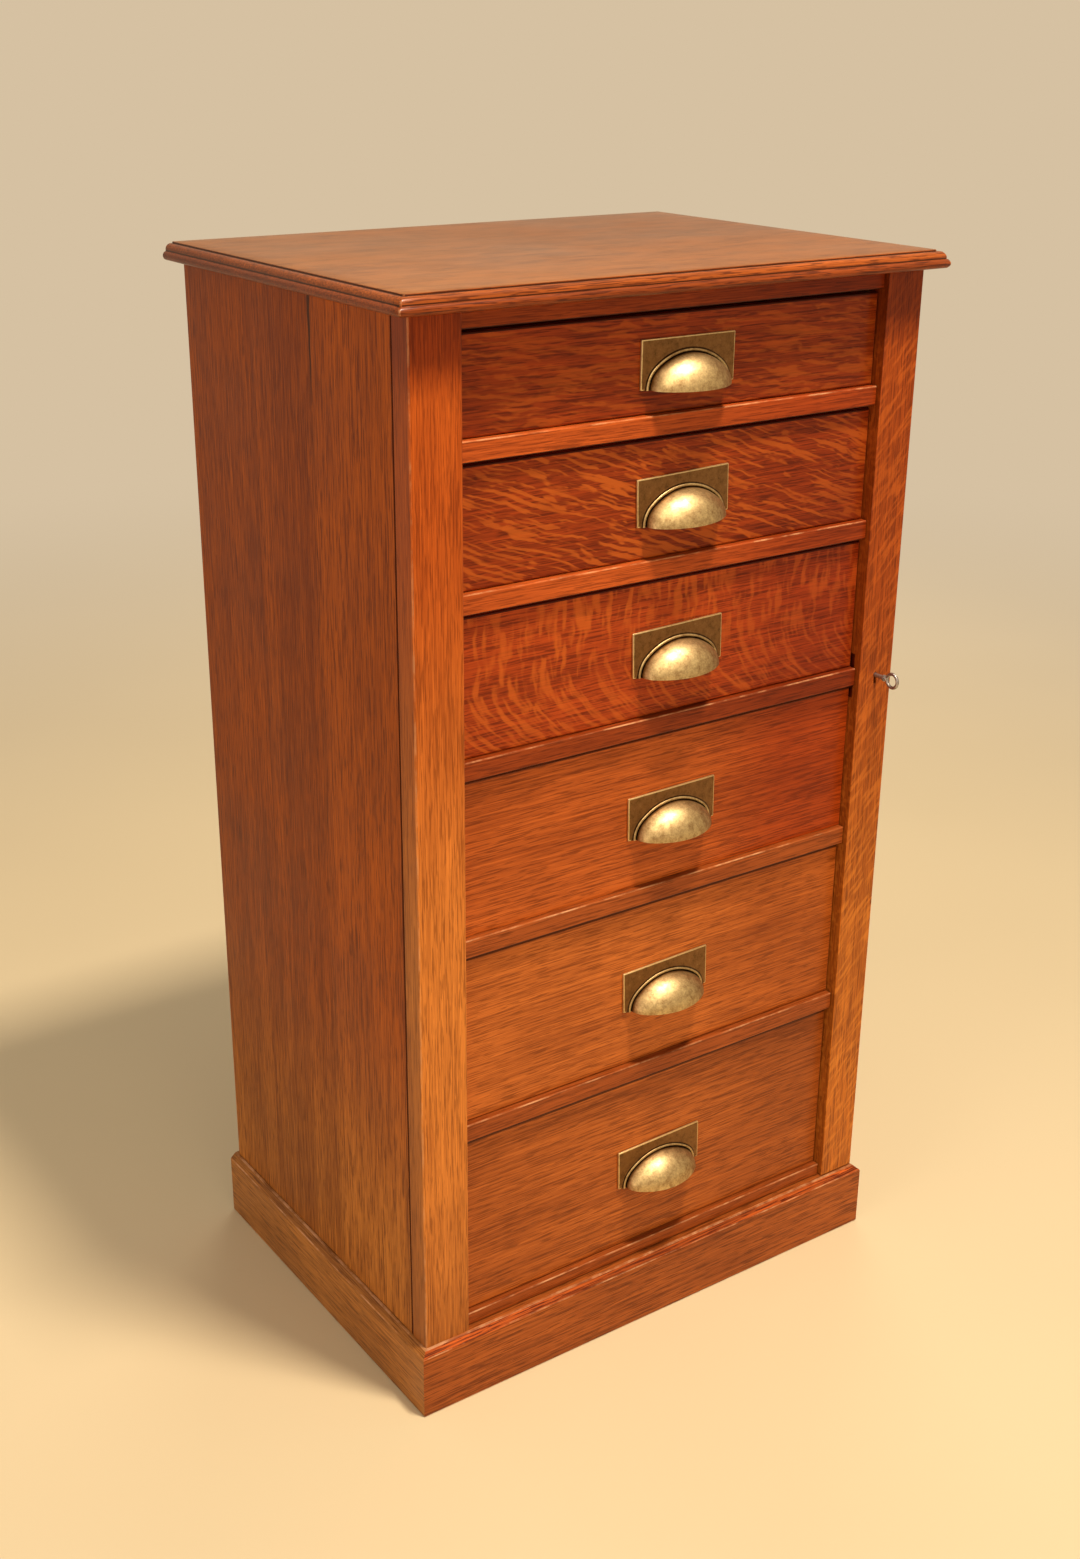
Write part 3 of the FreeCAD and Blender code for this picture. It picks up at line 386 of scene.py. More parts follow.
def oak(name, stain, grain, seed, contrast=1.0, glow=0.10, polish=True, gloss=0.03, sheen=0.16, rays=None,
        light_fades=(), boards=None, split=None):
    """Oak with its growth bands, streaks and pores along the grain, and rays where it is quarter-sawn.

    Stained and wax-polished oak shows dark pores in a warm brown ground, a satin sheen, and pale wood
    where hands have worn its edges. Bare oak and pine are paler and matt.
    """
    material, tree = start_material(name)
    spot = add(tree, "TexCoord", {}, out="Object")
    place = add(tree, "SeparateXYZ", {0: spot}).node.outputs
    origin = (seed * 1.31, seed * 2.17, seed * 0.73)
    fibre = add(tree, "Mapping", {"Vector": spot, "Location": origin, "Rotation": FIBRES[grain]})
    if boards:
        fibre, board_tone, seams = glued_boards(tree, fibre, place[boards.axis], boards)

    # Growth bands 26 mm wide, streaks 2.2 mm wide, hairlines and pores drawn 1.2 mm wide so that they
    # show, and clouds about 140 mm wide
    bands = grain_marks(tree, fibre, 800, 26, {"Detail": 3.0, "Distortion": 0.4})
    streaks = grain_marks(tree, fibre, 150, 2.2, {"Detail": 4.0, "Roughness": 0.6})
    hairs = grain_marks(tree, fibre, 70, 1.25, {"Detail": 3.0, "Roughness": 0.6})
    pores = grain_marks(tree, fibre, 30, 1.2, {"Detail": 2.0, "Roughness": 0.6})
    clouds = add(tree, "TexNoise", {"Vector": fibre, "Scale": 7.0, "Detail": 3.0}, out="Fac")

    tone = PLAIN_TONE - 0.5 * (BANDS + STREAKS + HAIRS + CLOUDS)
    for marks, share in ((bands, BANDS), (streaks, STREAKS), (hairs, HAIRS), (clouds, CLOUDS)):
        tone = add(tree, "Math", {0: marks, 1: share, 2: tone}, operation="MULTIPLY_ADD")
    if boards:
        tone = add(tree, "Math", {0: tone, 1: board_tone}, operation="ADD")
    tone = add(tree, "Clamp", {0: tone})
    dark = tinted(stain, 1 - 0.55 * contrast, 0.16)
    light = tinted(stain, 1 + 0.45 * contrast, -glow)
    shade = add(tree, "Mix", {0: tone, 6: dark, 7: light}, **COLOUR_MIX)
    pored = add(tree, "MapRange", {0: pores, 1: 0.51, 2: 0.60, 3: 0.0, 4: 0.74 * contrast}, **SOFT)
    shade = add(tree, "Mix", {0: pored, 6: shade, 7: tinted(stain, 0.34, 0.2)}, **COLOUR_MIX)
    if rays:
        flecked = ray_fleck(tree, spot, place["Z"], origin, rays)
        shade = add(tree, "Mix", {0: flecked, 6: shade, 7: rays.colour}, **COLOUR_MIX)
    # Painted light and shade: lighter or darker along an axis as the light falls
    for axis, start, end, gain in light_fades:
        light_fade = add(tree, "MapRange", {0: place[axis], 1: start, 2: end}, **SOFT)
        shade = add(tree, "Mix", {0: light_fade, 6: shade, 7: (*gain, 1.0)}, blend_type="MULTIPLY", **COLOUR_MIX)
    if boards:
        shade = add(tree, "Mix", {0: seams, 6: shade, 7: tinted(stain, 0.22, 0.1)}, **COLOUR_MIX)
    if split:
        crack = shrinkage_split(tree, spot, place, split)
        shade = add(tree, "Mix", {0: crack, 6: shade, 7: tinted(stain, 0.08)}, **COLOUR_MIX)

    # Hands rub the arrises bare in patches about 28 mm long, and dirt and painted shade darken corners, gaps
    # and faces in shadow
    arris = add(tree, "Attribute", {}, out="Fac", attribute_name="arris")
    patches = {"Scale": 1 / (28 * MM), "Detail": 5.0, "Roughness": 0.65}
    rub = add(tree, "TexNoise", {"Vector": spot, **patches}, out="Fac")
    rub = add(tree, "MapRange", {0: rub, 1: 0.40, 2: 0.66, 3: 0.06, 4: 0.85}, **SOFT)
    rub = add(tree, "Math", {0: rub, 1: arris}, operation="MULTIPLY")
    worn = bpy.context.scene.chest_colours.worn
    shade = add(tree, "Mix", {0: rub, 6: shade, 7: worn}, **COLOUR_MIX)
    dirt_and_shade = add(tree, "Attribute", {}, out="Fac", attribute_name="dirt_and_shade")
    shade = add(tree, "Mix", {0: dirt_and_shade, 6: shade, 7: tinted(stain, 0.2, 0.1)}, **COLOUR_MIX)

    depth, smoothest, roughest = WAXED if polish else BARE
    height = add(tree, "Math", {0: pored, 1: -0.8, 2: streaks}, operation="MULTIPLY_ADD")
    relief = add(tree, "Bump", {"Strength": depth, "Distance": 0.25 * MM, "Height": height})
    rough = add(tree, "MapRange", {0: clouds, 1: 0.3, 2: 0.7, 3: smoothest, 4: roughest})
    wood = add(tree, "BsdfPrincipled", {
        "Base Color": shade, "Roughness": rough, "Normal": relief, "IOR": 1.5, "Specular IOR Level": sheen,
        "Coat Weight": gloss if polish else 0.0, "Coat Roughness": 0.16, "Coat IOR": 1.5,
    })
    add(tree, "OutputMaterial", {"Surface": wood})
    return material


def cast_brass(name, colours, rub):
    """Cast brass with a brown patina that is burnished through where hands rub it.

    It gives bright parts mottled every 6 mm and specked every 1.6 mm, dark recesses and soft broad
    reflections.
    """
    material, tree = start_material(name)
    spot = add(tree, "TexCoord", {}, out="Object")
    mottling = {"Scale": 1 / (6 * MM), "Detail": 6.0, "Roughness": 0.7}
    mottle = add(tree, "TexNoise", {"Vector": spot, **mottling}, out="Fac")
    specks = {"Scale": 1 / (1.6 * MM), "Detail": 2.0, "Roughness": 0.6}
    speck = add(tree, "TexNoise", {"Vector": spot, **specks}, out="Fac")
    depth = add(tree, "Attribute", {}, out="Fac", attribute_name="patina")
    dull = add(tree, "Math", {0: mottle, 1: 1.3, 2: -0.76 - rub}, operation="MULTIPLY_ADD")
    dull = add(tree, "Math", {0: speck, 1: 0.5, 2: dull}, operation="MULTIPLY_ADD")
    even = add(tree, "Math", {0: depth, 1: -0.8, 2: 1.0}, operation="MULTIPLY_ADD", use_clamp=True)
    dull = add(tree, "Math", {0: dull, 1: even, 2: depth}, operation="MULTIPLY_ADD", use_clamp=True)
    brown = add(tree, "MapRange", {0: dull, 1: 0.0, 2: 0.6})
    black = add(tree, "MapRange", {0: dull, 1: 0.65, 2: 1.0})
    shade = add(tree, "Mix", {0: brown, 6: colours.brass, 7: colours.patina}, **COLOUR_MIX)
    shade = add(tree, "Mix", {0: black, 6: shade, 7: colours.recess}, **COLOUR_MIX)
    rough = add(tree, "MapRange", {0: dull, 3: 0.45, 4: 0.54})
    relief = add(tree, "Bump", {"Strength": 0.12, "Distance": 0.2 * MM, "Height": mottle})
    brass = add(tree, "BsdfPrincipled", {
        "Base Color": shade, "Metallic": 1.0, "Roughness": rough, "Normal": relief,
    })
    add(tree, "OutputMaterial", {"Surface": brass})
    return material


def handled_steel(name, shade):
    """Old mild steel, filed to shape and dulled by handling, with darker stains.

    It gives a grey or browned blurred reflection broken up by stains a few millimetres wide.
    """
    material, tree = start_material(name)
    spot = add(tree, "TexCoord", {}, out="Object")
    staining = {"Scale": 1 / (3 * MM), "Detail": 5.0, "Roughness": 0.7}
    stains = add(tree, "TexNoise", {"Vector": spot, **staining}, out="Fac")
    dull = add(tree, "MapRange", {0: stains, 1: 0.4, 2: 0.65, 3: 0.0, 4: 0.7})
    mixed = add(tree, "Mix", {0: dull, 6: shade, 7: tinted(shade, 0.4, 0.15)}, **COLOUR_MIX)
    rough = add(tree, "MapRange", {0: stains, 1: 0.3, 2: 0.7, 3: 0.32, 4: 0.55})
    steel = add(tree, "BsdfPrincipled", {"Base Color": mixed, "Metallic": 1.0, "Roughness": rough})
    add(tree, "OutputMaterial", {"Surface": steel})
    return material


def finish_piece(bm, name, material, node, smooth_below):
    """Make a finished piece of a mesh. It stands for a CAD node and moves with that node's body."""
    mesh = bpy.data.meshes.new(name)
    bm.to_mesh(mesh)
    bm.free()
    if smooth_below:
        mesh.shade_smooth()
        mesh.set_sharp_from_angle(angle=math.radians(smooth_below))
    mesh.materials.append(material)
    piece = bpy.data.objects.new(name, mesh)
    bpy.context.scene.collection.objects.link(piece)
    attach(piece, frame["nodes"][node]["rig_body"])
    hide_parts(node)
    return piece


def round_over(bm, edges, arris, segments):
    """Round edges over, and give the new faces."""
    return bmesh.ops.bevel(bm, geom=edges, offset=arris, offset_type="OFFSET", segments=segments, profile=0.5,
                           affect="EDGES", clamp_overlap=True, material=-1)["faces"]


def ease(bm, edges, arris, segments, rubbed=(), soiled_and_shaded=(), wear=1.0):
    """Round edges over, and mark the ways they face that hands rub bare or that take dirt and painted shade.
    """
    worn = bm.faces.layers.float.get("arris") or bm.faces.layers.float.new("arris")
    dirt_and_shade = bm.faces.layers.float.get("dirt_and_shade") or bm.faces.layers.float.new("dirt_and_shade")
    for face in round_over(bm, edges, arris, segments):
        face.normal_update()
        face[worn] = wear * any(face.normal.dot(way) > FACING for way in rubbed)
        face[dirt_and_shade] = float(any(face.normal.dot(way) > FACING for way in soiled_and_shaded))


def dress(node, material, arris, rubbed=(), soiled_and_shaded=(), dirty_and_shaded=(), dirt=0.55, wear=1.0, shadow_line=0.0,
          shortest=60.0, segments=2, smooth_below=0.0):
    """Copy a CAD node's solids as clean boards and ease their square edges over.

    Edges are eased that are longer than shortest, in millimetres. Flat sides that face a dirty way
    take dirt and painted shade, and a line along the top of the front takes painted shadow if given a width.
    """
    bm = bmesh.new()
    bm.from_mesh(frame["nodes"][node].data)
    bmesh.ops.remove_doubles(bm, verts=bm.verts, dist=MERGE)
    bmesh.ops.dissolve_limit(bm, angle_limit=math.radians(1.0), verts=bm.verts, edges=bm.edges)
    edges = []
    for edge in bm.edges:
        square = edge.is_manifold and math.radians(40) < edge.calc_face_angle_signed() < math.radians(100)
        if square and edge.calc_length() > shortest * MM:
            edges.append(edge)
    ease(bm, edges, arris, segments, rubbed, soiled_and_shaded, wear)
    dirt_and_shade = bm.faces.layers.float["dirt_and_shade"]
    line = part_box(node)[1].z - shadow_line
    if shadow_line:
        bmesh.ops.bisect_plane(bm, geom=bm.verts[:] + bm.edges[:] + bm.faces[:], plane_co=(0, 0, line),
                               plane_no=(0, 0, 1))
    for face in bm.faces:
        in_shadow_line = shadow_line and face.normal.y < -FLAT and face.calc_center_median().z > line
        if in_shadow_line or any(face.normal.dot(way) > FLAT for way in dirty_and_shaded):
            face[dirt_and_shade] = 0.9 if in_shadow_line else dirt
    return finish_piece(bm, node + "_dressed", material, node, smooth_below)


def is_mitre(edge):
    """Whether an edge is a short sharp one down a front corner of the top's moulding."""
    a, b = (vert.co for vert in edge.verts)
    at_corner = max(a.y, b.y) < 0 and min(abs(a.x), abs(b.x)) > 200 * MM
    if not (edge.is_manifold and at_corner and edge.calc_length() < 6 * MM):
        return False
    return edge.calc_face_angle() > math.radians(50)


class CHEST_OT_top(bpy.types.Operator):
    """Make the top board with its quirk, ovolo and rounded nose"""

    bl_idname = "chest.top"
    bl_label = "Moulded top"

    def execute(self, context):
        colours, sizes = chosen(context)
        low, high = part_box("top_board")
        ovolo_top = high.z - sizes.quirk
        ovolo_foot = ovolo_top - sizes.ovolo
        nose_top = ovolo_foot - sizes.nose_gap

        # Insets and heights up the edge: nose, ovolo, quirk
        arc_steps = 8
        rise = nose_top - low.z
        radius = (rise ** 2 / 4 + sizes.nose_return ** 2) / (2 * sizes.nose_return)
        half_turn = math.asin(rise / 2 / radius)
        levels = []
        for step in range(arc_steps + 1):
            angle = half_turn * (2 * step / arc_steps - 1)
            z = (low.z + nose_top) / 2 + radius * math.sin(angle)
            levels.append((radius - radius * math.cos(angle), z))
        inset = sizes.nose_return + sizes.ovolo
        for step in range(arc_steps + 1):
            angle = math.pi / 2 * step / arc_steps
            z = ovolo_foot + sizes.ovolo * math.sin(angle)
            levels.append((inset - sizes.ovolo * math.cos(angle), z))
        levels.append((inset + sizes.quirk_ledge, ovolo_top))
        levels.append((inset + sizes.quirk_ledge, high.z))

        bm = bmesh.new()
        bmesh.ops.create_grid(bm, x_segments=1, y_segments=1, size=0.5)
        loop = bm.edges[:]
        for index, (inset, z) in enumerate(levels):
            if index:
                loop = bmesh.ops.extrude_edge_only(bm, edges=loop)["geom"]
            corners = [v for v in (loop if index else bm.verts) if isinstance(v, bmesh.types.BMVert)]
            loop = [e for e in loop if isinstance(e, bmesh.types.BMEdge)]
            middle = (low.y + high.y) / 2 if index else 0.0
            for vert in corners:
                x = high.x - inset if vert.co.x > 0 else low.x + inset
                y = high.y if vert.co.y > middle else low.y + inset
                vert.co = (x, y, z)
        bmesh.ops.holes_fill(bm, edges=loop)
        bmesh.ops.remove_doubles(bm, verts=bm.verts, dist=MERGE)
        bmesh.ops.recalc_face_normals(bm, faces=bm.faces)

        # Dirt and painted shade in the quirk and in the fillet, worn corners, and runs that aren't quite
        # straight
        dirt_and_shade = bm.faces.layers.float.new("dirt_and_shade")
        for face in bm.faces:
            z = face.calc_center_median().z
            in_quirk = ovolo_top - 0.1 * MM < z < high.z - 0.1 * MM
            face[dirt_and_shade] = 0.95 if in_quirk or nose_top < z < ovolo_foot else 0.0
        rim = [e for e in bm.edges if e.is_manifold and min(v.co.z for v in e.verts) > high.z - 0.05 * MM]
        ease(bm, rim, sizes.top_arris, 2)
        mitres = [e for e in bm.edges if is_mitre(e)]
        ease(bm, mitres, sizes.mitre_arris, 2, rubbed=(FRONT_LEFT, FRONT_RIGHT), wear=2.0)
        runs = [e for e in bm.edges if e.calc_length() > 200 * MM]
        bmesh.ops.subdivide_edges(bm, edges=runs, cuts=30, use_grid_fill=True)
        sways_per_metre = 45
        noise.seed_set(5)
        for vert in bm.verts:
            if vert.co.y < high.y - 1 * MM:
                sway = noise.noise_vector(vert.co * sways_per_metre) * sizes.sway
                vert.co.x += sway.x
                vert.co.y += sway.y
        for face in bm.faces:
            face.material_index = 0 if face.calc_center_median().z > high.z - 0.3 * MM else 1

        cloudy = Rays(turn=0.0, long=60, thin=13, wander=34, low=0.44, high=0.66, strength=0.6,
                      colour=tinted(colours.top, 1.48, -0.12))
        # Painted shade: the top darker towards the right and the back
        shade_to_right = LightFade("X", -0.24, 0.10, (0.86, 0.82, 0.80))
        shade_to_back = LightFade("Y", -0.15, 0.12, (0.82, 0.81, 0.82))
        surface = oak("polished_oak_top", tinted(colours.top, 1.13, -0.10), "X", 3.0, contrast=0.8,
                      gloss=0.1, rays=cloudy, light_fades=(shade_to_right, shade_to_back))
        # Painted shade on the moulding: darker towards the back and under the ovolo
        edge_shade_to_back = LightFade("Y", -0.12, 0.18, (0.66, 0.60, 0.58))
        shade_under_ovolo = LightFade("Z", ovolo_foot, nose_top, (0.74, 0.62, 0.56))
        edge = oak("polished_oak_moulding", colours.moulding, "X", 5.0, contrast=1.2, gloss=0.2,
                   light_fades=(edge_shade_to_back, shade_under_ovolo))
        piece = finish_piece(bm, "top_board_moulded", surface, "top_board", smooth_below=32.0)
        piece.data.materials.append(edge)
        return {"FINISHED"}


class CHEST_OT_sides(bpy.types.Operator):
    """Make both sides of glued boards, one with a shrinkage split"""

    bl_idname = "chest.sides"
    bl_label = "Side boards"

    def execute(self, context):
        colours, sizes = chosen(context)
        left = Boards("Y", seams=((-0.0235, -0.22), (0.0800, 0.02)), line=0.35)
        right = Boards("Y", seams=((-0.0420, -0.12), (0.0650, 0.14)), line=0.35)
        split = Split(y=-0.0255, foot=0.905, head=1.0, width=2.4 * MM)
        # Painted light: the sides lighter and yellower towards the foot
        lighting_to_foot = LightFade("Z", 0.42, 0.10, (1.3, 2.25, 8.0))
        for node, seed, contrast, boards, crack in (
            ("left_side", 11.0, 1.05, left, split),
            ("right_side", 17.0, 0.85, right, None),
        ):
            wood = oak(f"polished_oak_{node}", colours.side, "Z", seed, contrast=contrast, glow=0.3,
                       sheen=0.10, light_fades=(lighting_to_foot,), boards=boards, split=crack)
            dress(node, wood, sizes.joint_arris, rubbed=(BACK_LEFT, BACK_RIGHT),
                  soiled_and_shaded=(FRONT_LEFT, FRONT_RIGHT))
        return {"FINISHED"}


class CHEST_OT_stile_and_rails(bpy.types.Operator):
    """Make the fixed stile and the rails between the drawers"""

    bl_idname = "chest.stile_and_rails"
    bl_label = "Stile and rails"

    def execute(self, context):
        colours, sizes = chosen(context)
        # Painted light: lighter and yellower towards the middle; painted shade at the foot and under the
        # moulding
        light_to_middle = LightFade("Z", 0.85, 0.42, (1.24, 2.08, 3.2))
        lighting_to_foot = LightFade("Z", 0.34, 0.08, (0.80, 0.80, 0.86))
        shade_under_moulding = LightFade("Z", 0.925, 0.972, (0.60, 0.46, 0.42))
        stile = oak("polished_oak_stile", colours.stile, "Z", 23.0, contrast=0.78,
                    light_fades=(light_to_middle, lighting_to_foot, shade_under_moulding))
        # Its left face is darkened with painted shade
        dress("left_stile", stile, sizes.joint_arris, rubbed=(FRONT_LEFT,), soiled_and_shaded=(BACK_LEFT,),
              dirty_and_shaded=(LEFT,), dirt=0.33, wear=0.5)
        # Painted shade: the upper rails darker towards the flap
        shade_to_flap = (LightFade("X", -0.06, 0.16, (0.72, 0.56, 0.52)),)
        for name, stain, seed, light_fades, nodes in (
            ("pale", colours.pale_rail, 29.0, shade_to_flap, ("rail_1", "rail_2")),
            ("dark", colours.dark_rail, 31.0, shade_to_flap, ("top_rail", "rail_3")),
            # The lower rails are a lighter, yellower copy of the dark rails in painted light
            ("lower", tinted(colours.dark_rail, 1.25, -0.35), 33.0, (), ("rail_4", "rail_5", "bottom_rail")),
        ):
            wood = oak(f"polished_oak_{name}_rails", stain, "X", seed, contrast=0.8, light_fades=light_fades)
            for node in nodes:
                # The lower front arris of each rail takes painted shade
                dress(node, wood, sizes.arris, rubbed=(FRONT_UP,), soiled_and_shaded=(FRONT_DOWN,))
        return {"FINISHED"}


class CHEST_OT_plinth(bpy.types.Operator):
    """Make the mitred plinth with its worn chamfer, lighter in painted light"""

    bl_idname = "chest.plinth"
    bl_label = "Plinth"

    def execute(self, context):
        colours, sizes = chosen(context)
        front = oak("polished_oak_plinth_front", colours.plinth, "X", 37.0)
        # The plinth sides are a lighter, yellower copy of the front in painted light
        sides = oak("polished_oak_plinth_sides", tinted(colours.plinth, 1.12, -0.5), "Y", 41.0,
                    contrast=0.95)
        # The chamfer's lighter, redder oak is partly wear and partly painted light where it faces up
        chamfer = oak("rubbed_and_lit_oak_plinth_chamfer", tinted(colours.plinth, 1.15, 0.25), "X", 38.0,
                      contrast=1.7)
        piece = dress("plinth_front", front, sizes.plinth_arris, rubbed=(CHAMFER_FRONT,))
        piece.data.materials.append(chamfer)
        for polygon in piece.data.polygons:
            if polygon.normal.dot(FRONT_UP) > FLAT:
                polygon.material_index = 1
        for node in ("plinth_left", "plinth_right"):
            dress(node, sides, sizes.plinth_arris, rubbed=(CHAMFER_LEFT, CHAMFER_RIGHT))
        return {"FINISHED"}


class CHEST_OT_carcase_inside(bpy.types.Operator):
    """Make the bare wood of the back, the bottom, the runners and the blocks"""

    bl_idname = "chest.carcase_inside"
    bl_label = "Back and inside"

    def execute(self, context):
        colours, sizes = chosen(context)
        pine = {"stain": colours.pine, "contrast": 0.5, "polish": False}
        low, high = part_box("back_boards")
        joints = sorted({round(vert.co.x, 5) for vert in frame["nodes"]["back_boards"].data.vertices})
        tones = (-0.22, 0.30, -0.16, 0.20, -0.24, 0.18)
        boards = Boards("X", tuple(zip(joints[1:-1], tones)), 0.0)
        back = oak("planed_pine_back", grain="Z", seed=44.0, boards=boards, **pine)
        bm = bmesh.new()
        for left, right in zip(joints, joints[1:]):
            board = bmesh.ops.create_cube(bm, size=1.0)["verts"]
            bmesh.ops.scale(bm, vec=(right - left, high.y - low.y, high.z - low.z), verts=board)
            middle = ((left + right) / 2, (low.y + high.y) / 2, (low.z + high.z) / 2)
            bmesh.ops.translate(bm, vec=middle, verts=board)
        uprights = [e for e in bm.edges if e.calc_length() > 0.9 * (high.z - low.z)]
        ease(bm, uprights, sizes.back_arris, 2, soiled_and_shaded=(BACK_LEFT, BACK_RIGHT))
        finish_piece(bm, "back_boards_planed", back, "back_boards", smooth_below=0.0)
        upright = oak("planed_pine_upright", grain="Z", seed=43.0, **pine)
        deep = oak("planed_pine_runners", grain="Y", seed=47.0, **pine)
        across = oak("planed_pine_across", grain="X", seed=53.0, **pine)
        dress("hinge_post", upright, sizes.lining_arris)
        dress("plinth_blocks", upright, sizes.arris, shortest=20.0)
        dress("drawer_runners", deep, sizes.lining_arris)
        dress("bottom_board", across, sizes.lining_arris)
        dress("plinth_back", across, sizes.arris)
        dress("drawer_stops", across, sizes.lining_arris, shortest=4.0)
        return {"FINISHED"}


class CHEST_OT_drawers(bpy.types.Operator):
    """Make the drawer fronts and their dovetailed linings"""

    bl_idname = "chest.drawers"
    bl_label = "Drawers"

    def execute(self, context):
        colours, sizes = chosen(context)
        low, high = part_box("drawer_3_front")
        rays = {
            1: Rays(turn=-0.10, long=46, thin=3.8, wander=15, low=0.45, high=0.66, strength=0.42,
                    colour=colours.fleck),
            2: Rays(turn=-0.36, long=66, thin=3.3, wander=13, low=0.47, high=0.63, strength=0.8,
                    colour=colours.fleck),
            3: Rays(turn=math.pi / 2, long=27, thin=5.6, wander=19, low=0.43, high=0.68, strength=0.6,
                    colour=tinted(colours.fleck, 1.2, 0.02), bend=11.5, level=(low.z + high.z) / 2),
        }
        # Tints partly stain, partly painted light and shade: drawer 1 darker under the top, lower fronts
        # yellower
        stains = {
            1: tinted(colours.figured, 0.94),
            2: tinted(colours.figured, 1.02),
            3: tinted(colours.figured, 1.34),
            4: tinted(colours.plain, 0.97),
            5: tinted(colours.plain, 1.05, -0.22),
            6: tinted(colours.plain, 0.90, -0.18),
        }
        # Painted shade: the fronts darker towards the flap
        shade_to_flap = {2: (0.82, 0.74, 0.72), 3: (0.78, 0.66, 0.74), 4: (0.70, 0.43, 0.28), 5: (0.84, 0.75, 0.64),
                   6: (0.82, 0.77, 0.72)}
        # Painted shadow lines under the rails, along the tops of the lower fronts
        shadow_lines = {4: 1.2 * MM, 5: 2.1 * MM, 6: 3.0 * MM}
        bare = {"stain": colours.lining, "contrast": 0.42, "polish": False}
        deep = oak("planed_oak_lining", grain="Y", seed=61.0, **bare)
        across = oak("planed_oak_lining_across", grain="X", seed=67.0, **bare)
        for n in DRAWERS:
            light_fades = (LightFade("X", 0.0, 0.16, shade_to_flap[n]),) if n in shade_to_flap else ()
            if n in rays:
                front = oak(f"quarter_sawn_oak_front_{n}", stains[n], "X", 70.0 + n, rays=rays[n],
                            light_fades=light_fades)
            else:
                front = oak(f"polished_oak_front_{n}", stains[n], "X", 55.0 + n, contrast=0.88, light_fades=light_fades)
            # The top arris of each front takes painted shade under the rail above
            dress(f"drawer_{n}_front", front, sizes.front_arris, soiled_and_shaded=(FRONT_UP,),
                  shadow_line=shadow_lines.get(n, 0.0))
            dress(f"drawer_{n}_sides", deep, sizes.lining_arris)
            dress(f"drawer_{n}_back", across, sizes.lining_arris)
            dress(f"drawer_{n}_bottom", across, sizes.lining_arris)
        return {"FINISHED"}


def arch_path(bm, geometry, half_width, height, end_radius, turn_axis, rise_axis, steps):
    """Carry geometry round a basket arch of three arcs, from its right foot to its left one."""
    crown_radius = (half_width ** 2 + height ** 2 - 2 * half_width * end_radius) / (2 * (height - end_radius))
    flank = half_width - end_radius
    end_angle = math.atan2(crown_radius - height, flank)
    turns = (
        (Vector((flank, 0, 0)), end_angle, steps),
        (rise_axis * (height - crown_radius), math.pi - 2 * end_angle, 3 * steps),
        (Vector((-flank, 0, 0)), end_angle, steps),
    )
    for centre, angle, count in turns:
        geometry = bmesh.ops.spin(bm, geom=geometry, cent=centre, axis=turn_axis, angle=angle, steps=count,
                                  **PART_TURN)["geom_last"]
    return geometry


def edges_of(verts):
    """The edges at some vertices, each one once and in their order."""
    return list(dict.fromkeys(edge for vert in verts for edge in vert.link_edges))


def mark(bm, before, patina, level):
    """Write dirt on the vertices that are new since a count, as one level or from their places."""
    bm.verts.ensure_lookup_table()
    for vert in bm.verts[before:]:
        vert[patina] = level(vert.co) if callable(level) else level


def cast_dome(bm, patina, sizes):
    """Cast a pull's dome, turned a quarter of the way from facing forward to facing up."""
    start = bmesh.ops.create_vert(bm, co=(sizes.cup_half_width, 0, 0))["vert"]
    arch_path(bm, start, sizes.cup_half_width, sizes.cup_height, sizes.cup_end, Vector((0, 0, -1)),
              Vector((0, -1, 0)), DOME_END)
    bmesh.ops.spin(bm, geom=bm.verts[:] + bm.edges[:], cent=(0, 0, 0), axis=(-1, 0, 0), angle=math.pi / 2,
                   steps=DOME_RISE, **PART_TURN)
    bmesh.ops.remove_doubles(bm, verts=bm.verts, dist=2 * MERGE)
    bmesh.ops.recalc_face_normals(bm, faces=bm.faces)
    inside = Vector((0, -10 * MM, 10 * MM))
    if sum(f.normal.dot(f.calc_center_median() - inside) for f in bm.faces) < 0:
        bmesh.ops.reverse_faces(bm, faces=bm.faces)
    bmesh.ops.solidify(bm, geom=bm.faces[:], thickness=sizes.cup_wall)

    def settled_and_shaded(co):
        """Dirt within 6 mm of the plate, and painted shade a little to the right and towards the lip."""
        close = max(0.0, 1 - max(-co.y - 1.0 * MM, 0.0) / (5 * MM))
        shade_to_right = max(0.0, co.x / sizes.cup_half_width)
        return 1.1 * close ** 1.5 + 0.3 * shade_to_right + 0.12 * (1 - co.z / sizes.cup_height)

    mark(bm, 0, patina, settled_and_shaded)


def cast_bead(bm, patina, sizes, radius, flatness, crest, dirt):
    """Cast a bead round the foot of the dome, or the flat fillet under it, with dirt below its crest."""
    before = len(bm.verts)
    reach = sizes.bead_gap + sizes.bead
    seat = Vector((sizes.cup_half_width + reach, -0.4 * MM * flatness, 0))
    ring = bmesh.ops.create_circle(bm, cap_ends=True, segments=BEAD_SIDES, radius=radius,
                                   matrix=Matrix.Translation(seat))["verts"]
    bmesh.ops.scale(bm, vec=(1, flatness, 1), space=Matrix.Translation(-seat), verts=ring)
    last = arch_path(bm, ring + edges_of(ring), sizes.cup_half_width + reach, sizes.cup_height + reach,
                     sizes.cup_end + reach, Vector((0, -1, 0)), Vector((0, 0, 1)), BEAD_END)
    bmesh.ops.holes_fill(bm, edges=[e for e in last if isinstance(e, bmesh.types.BMEdge)])
    mark(bm, before, patina, lambda co: dirt[0] if co.y < crest else dirt[1])


